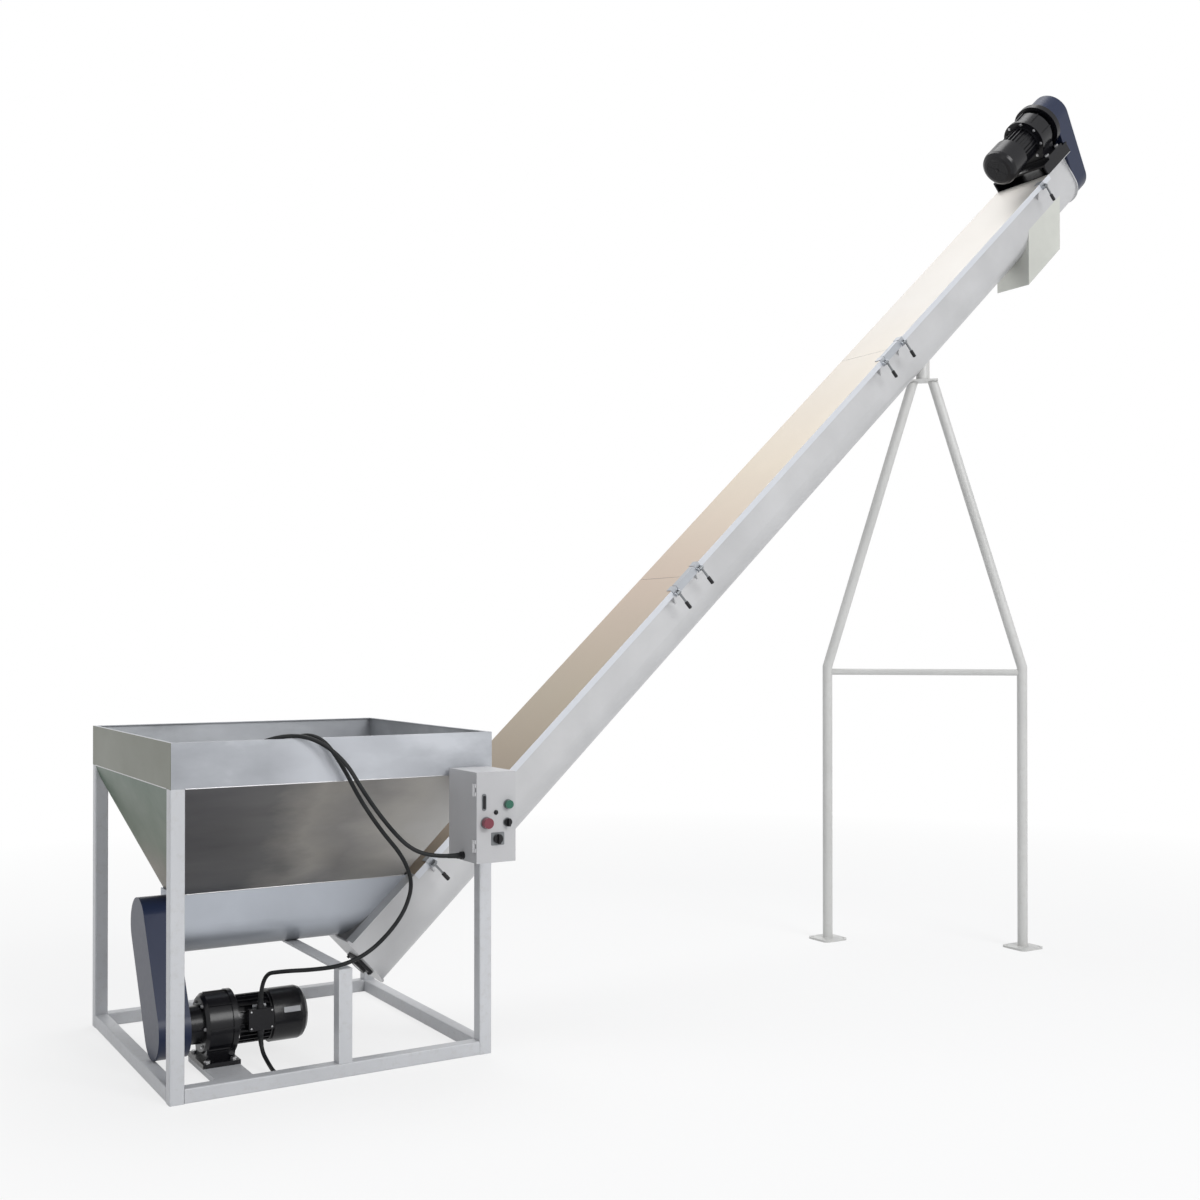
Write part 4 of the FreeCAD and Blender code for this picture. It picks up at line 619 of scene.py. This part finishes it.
def pan_screw(bm, at, axis, radius):
    """A low round screw head."""
    turned(bm, at, axis, [(0, radius), (radius * 0.35, radius * 0.96),
                          (radius * 0.6, radius * 0.72), (radius * 0.7, radius * 0.3)], 20)


BEAD_RIPPLE = 0.0045
BEAD_HOLLOW = 0.86


def bead(bm, start, end, radius):
    """A weld bead with the ripple that a hand leaves."""
    line = end - start
    axis = line.normalized()
    count = max(3, int(line.length / (BEAD_RIPPLE / 2)))
    skin(bm, [circle(start + line * (i / count), axis,
                     radius * (1.0 if i % 2 else BEAD_HOLLOW), 6)
              for i in range(count + 1)])


# Strain reliefs, tapered along the lead from each gland

RELIEF_START = 0.020
RELIEF_LENGTH = 0.040
RELIEF_RADIUS = (0.0102, 0.0084)
RELIEF_STEPS = 20
RELIEF_GROOVE = 0.0007


def point_at(spots, reach):
    """Place and direction at a distance along a row of points."""
    for a, b in zip(spots[:-1], spots[1:]):
        step = (b - a).length
        if reach <= step:
            return a + (b - a) * (reach / step), (b - a).normalized()
        reach -= step
    return spots[-1], (spots[-1] - spots[-2]).normalized()


def make_relief(name, spots):
    """A tapered sleeve on the lead, with grooves round it."""
    bm = bmesh.new()
    start, end = RELIEF_RADIUS
    loops = []
    for i in range(RELIEF_STEPS + 1):
        place, axis = point_at(spots, RELIEF_START + RELIEF_LENGTH * i / RELIEF_STEPS)
        grooved = i % 4 in (2, 3) and 3 < i < RELIEF_STEPS - 1
        radius = start + (end - start) * i / RELIEF_STEPS
        loops.append(circle(place, axis, radius - (RELIEF_GROOVE if grooved else 0.0), 24))
    skin(bm, loops)
    settle(name, bm, "rubber", sharp=50)


make_relief("relief_box", control_spots)
make_relief("relief_top", control_spots[::-1])
make_relief("relief_under", earth_spots)


# Control box door: lock, bezels, pilot lamp and the plate of the power switch

DOOR_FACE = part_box("box_door")[0][1]
DOOR_SINK = 0.0006
LOCK = (0.439, 0.968)
BEZELS = (("stop", (0.447, 0.895), 0.0215), ("start", (0.533, 0.957), 0.0175),
          ("selector", (0.531, 0.893), 0.0165))
PILOT_LAMP = (0.486, 0.930)
PILOT_PROFILE = [(0, 0.0085), (0.003, 0.0085), (0.004, 0.0068), (0.007, 0.0064),
                 (0.0095, 0.0045), (0.0105, 0.0015)]
POWER_SWITCH = (0.493, 0.836)


def on_door(place, out=-DOOR_SINK):
    """A place on the door from its X and Z, and how far it stands out."""
    return Vector((place[0], DOOR_FACE - out, place[1]))


def make_door_plate(name, centre, sizes, mat):
    """A plate that stands on the door, of width, height, thickness and corner."""
    bm = bmesh.new()
    plate(bm, centre, RIGHT, UP, *sizes)
    settle(name, bm, mat, "door")


def make_door_round(name, centre, profile, sides, mat):
    """A turned piece that stands on the door."""
    bm = bmesh.new()
    turned(bm, centre, -ACROSS, profile, sides)
    settle(name, bm, mat, "door")


def make_door_pieces():
    """The lock and its handle, three bezels, the lamp and the switch's plate."""
    make_door_plate("door_lock_plate", on_door(LOCK), (0.017, 0.060, 0.0034, 0.0075),
                    "dull")
    make_door_plate("door_lock_handle", on_door(LOCK, 0.0022), (0.009, 0.048, 0.0050, 0.004),
                    "black")
    for name, place, radius in BEZELS:
        make_door_round("bezel_" + name, on_door(place),
                        [(0, radius), (0.0026, radius), (0.0040, radius - 0.0018)], 36,
                        "dull")
    make_door_round("pilot_lamp", on_door(PILOT_LAMP), PILOT_PROFILE, 24,
                    "black")
    make_door_plate("power_backing", on_door(POWER_SWITCH), (0.052, 0.046, 0.0024, 0.004),
                    "dull")


make_door_pieces()


# Drive pieces: cowl grille, terminal lid with its screws, and bolts


class Drive:
    """The place of a motor and reducer, from the axis of its pinion."""

    def __init__(self, name, origin, out, across, up):
        self.name, self.origin = name, origin
        self.out, self.across, self.up = out, across, up

    def at(self, out, across, up):
        """A place from millimetres out of the guard back, and across and up from
        the pinion's axis."""
        return self.origin + (self.out * out + self.across * across + self.up * up) / 1000


GUARD_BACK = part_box("guard_backs")[0][0] + 0.002
PINION_LOW = Vector((GUARD_BACK, *joints["lower_drive_turn"]["pos_m"][1:]))
DRIVES = (
    Drive("lower", PINION_LOW, RIGHT, ACROSS, UP),
    Drive("upper", Vector(joints["upper_drive_turn"]["pos_m"]), -SLOPE_X, -ACROSS, SLOPE_Z),
)

# Places on each drive, in millimetres as Drive.at takes them: the end of the
# fan cowl, the face of the motor's flange, the face of the reducer's cover and
# the middle of the terminal lid with the spread of its screws
COWL_END = 440
FLANGE_FACE = 168
COVER_FACE = 55
LID_OUT = 249
LID_UP = 17
LID_BACK = 113.6
LID_FACE = 117.8
LID_SCREW_OUT = 38
LID_SCREW_UP = 30

GRILLE_RADII = (0.014, 0.025, 0.036, 0.047, 0.058)
GRILLE_WIRE = 0.0013
GRILLE_SPOKE = 0.0016


def make_grille(drive):
    """Wire rings, four spokes and a hub over the end of the fan cowl."""
    bm = bmesh.new()
    end = drive.at(COWL_END, 0, 0)
    for radius in GRILLE_RADII:
        ring(bm, end, drive.out, radius, GRILLE_WIRE)
    for turn in range(4):
        angle = math.pi / 4 + turn * math.pi / 2
        side = drive.across * math.cos(angle) + drive.up * math.sin(angle)
        turned(bm, end + side * 0.010, side, [(0, GRILLE_SPOKE), (0.050, GRILLE_SPOKE)], 8)
    turned(bm, end, drive.out, [(-0.0005, 0.0095), (0.002, 0.0095), (0.0028, 0.008)], 24)
    settle(drive.name + "_cowl_grille", bm, "motor_black")


def make_terminal_lid(drive):
    """The lid of the terminal box and the screws at its corners."""
    lid = bmesh.new()
    plate(lid, drive.at(LID_OUT, -LID_BACK, LID_UP), drive.out, drive.up,
          0.094, 0.078, 0.0042, 0.007, 0.001)
    settle(drive.name + "_terminal_lid", lid, "motor_black")
    screws = bmesh.new()
    for out in (LID_OUT - LID_SCREW_OUT, LID_OUT + LID_SCREW_OUT):
        for up in (LID_UP - LID_SCREW_UP, LID_UP + LID_SCREW_UP):
            pan_screw(screws, drive.at(out, -LID_FACE, up), -drive.across, 0.0034)
    settle(drive.name + "_terminal_screws", screws, "bright")


def make_ring_bolts(drive):
    """Bolts round the motor's flange and round the reducer's cover."""
    bm = bmesh.new()
    for count, first, radius, face, axis, across in (
            (8, math.pi / 8, 101, FLANGE_FACE, drive.out, 0.011),
            (6, 0.0, 84, COVER_FACE, -drive.out, 0.010)):
        for turn in range(count):
            angle = first + turn * 2 * math.pi / count
            place = drive.at(face, radius * math.cos(angle), radius * math.sin(angle))
            hex_bolt(bm, place, axis, across)
    settle(drive.name + "_ring_bolts", bm, "bright")


for one_drive in DRIVES:
    make_grille(one_drive)
    make_terminal_lid(one_drive)
    make_ring_bolts(one_drive)


# Each plate of the lower motor: name, place out in millimetres, turn in degrees
# and radius in millimetres about the motor's axis, width and height in metres
MOTOR_PLATES = (("plate_case", 255, 35, 88.6, 0.050, 0.024),
                ("plate_cowl", 372, 20, 96.6, 0.062, 0.020))
PLATE_SINK = 0.0008


def make_motor_plates():
    """The blank plates on the lower motor and its cowl."""
    drive = DRIVES[0]
    for name, out, turn, radius, width, height in MOTOR_PLATES:
        angle = math.radians(turn)
        outward = -drive.across * math.cos(angle) + drive.up * math.sin(angle)
        tall = drive.across * math.sin(angle) + drive.up * math.cos(angle)
        centre = drive.at(out, -radius * math.cos(angle), radius * math.sin(angle))
        bm = bmesh.new()
        plate(bm, centre - outward * PLATE_SINK, drive.out, tall, width, height,
              0.0022, 0.002)
        settle(name, bm, "plate")


make_motor_plates()


# Latch grips, each on the lower end of its lever

GRIP_DROP = 0.052
GRIP_SIDE = -0.201


def make_latch_grips():
    """A ribbed grip for each of the six levers."""
    profile = [(0, 0.0068), (0.002, 0.0082)]
    for i in range(5):
        reach = 0.006 + i * 0.006
        profile += [(reach - 0.001, 0.0086), (reach, 0.0079), (reach + 0.001, 0.0079),
                    (reach + 0.002, 0.0086)]
    profile += [(0.036, 0.0082), (0.038, 0.0055)]
    for number in range(1, 7):
        top = Vector(joints["latch_%d_swing" % number]["pos_m"]) - SLOPE_Z * GRIP_DROP
        bm = bmesh.new()
        turned(bm, Vector((top.x, GRIP_SIDE, top.z)), -SLOPE_Z, profile, 20)
        settle("latch_grip_%d" % number, bm, "black", "latch_%d" % number)


make_latch_grips()


# Weld beads along the seams

SEAM_CORNER = 0.050
SEAM_SINK = 0.0006
THIN_BEAD = 0.0022
TROUGH_BEAD = 0.0026
TROUGH_SIDE = 0.1095
TROUGH_SEAM = (0.004, 0.440)
LEG_FEET = ((3.0155, 0.3363, 0.0108), (3.7145, -0.3363, 0.0108))
LEG_RADIUS = 0.0258


def make_beads():
    """Beads under the rim band, along the level trough and round the legs' feet."""
    trough_low, trough_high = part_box("feed_trough")
    band_low, band_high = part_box("rim_band")
    hopper = bmesh.new()
    seam = band_low[2]
    left, right = band_low[0] + SEAM_CORNER, band_high[0] - SEAM_CORNER
    front, rear = band_low[1] + SEAM_CORNER, band_high[1] - SEAM_CORNER
    for side in (band_low[1] + SEAM_SINK, band_high[1] - SEAM_SINK):
        bead(hopper, Vector((left, side, seam)), Vector((right, side, seam)), THIN_BEAD)
    for side in (band_low[0] + SEAM_SINK, band_high[0] - SEAM_SINK):
        bead(hopper, Vector((side, front, seam)), Vector((side, rear, seam)), THIN_BEAD)
    start, end = trough_low[0] + TROUGH_SEAM[0], TROUGH_SEAM[1]
    for side in (-TROUGH_SIDE, TROUGH_SIDE):
        bead(hopper, Vector((start, side, trough_high[2])),
             Vector((end, side, trough_high[2])), TROUGH_BEAD)
    settle("hopper_welds", hopper, "bright", sharp=80)
    stand = bmesh.new()
    for place in LEG_FEET:
        ring(stand, Vector(place), UP, LEG_RADIUS, THIN_BEAD)
    settle("stand_welds", stand, "stand_paint", sharp=80)


make_beads()
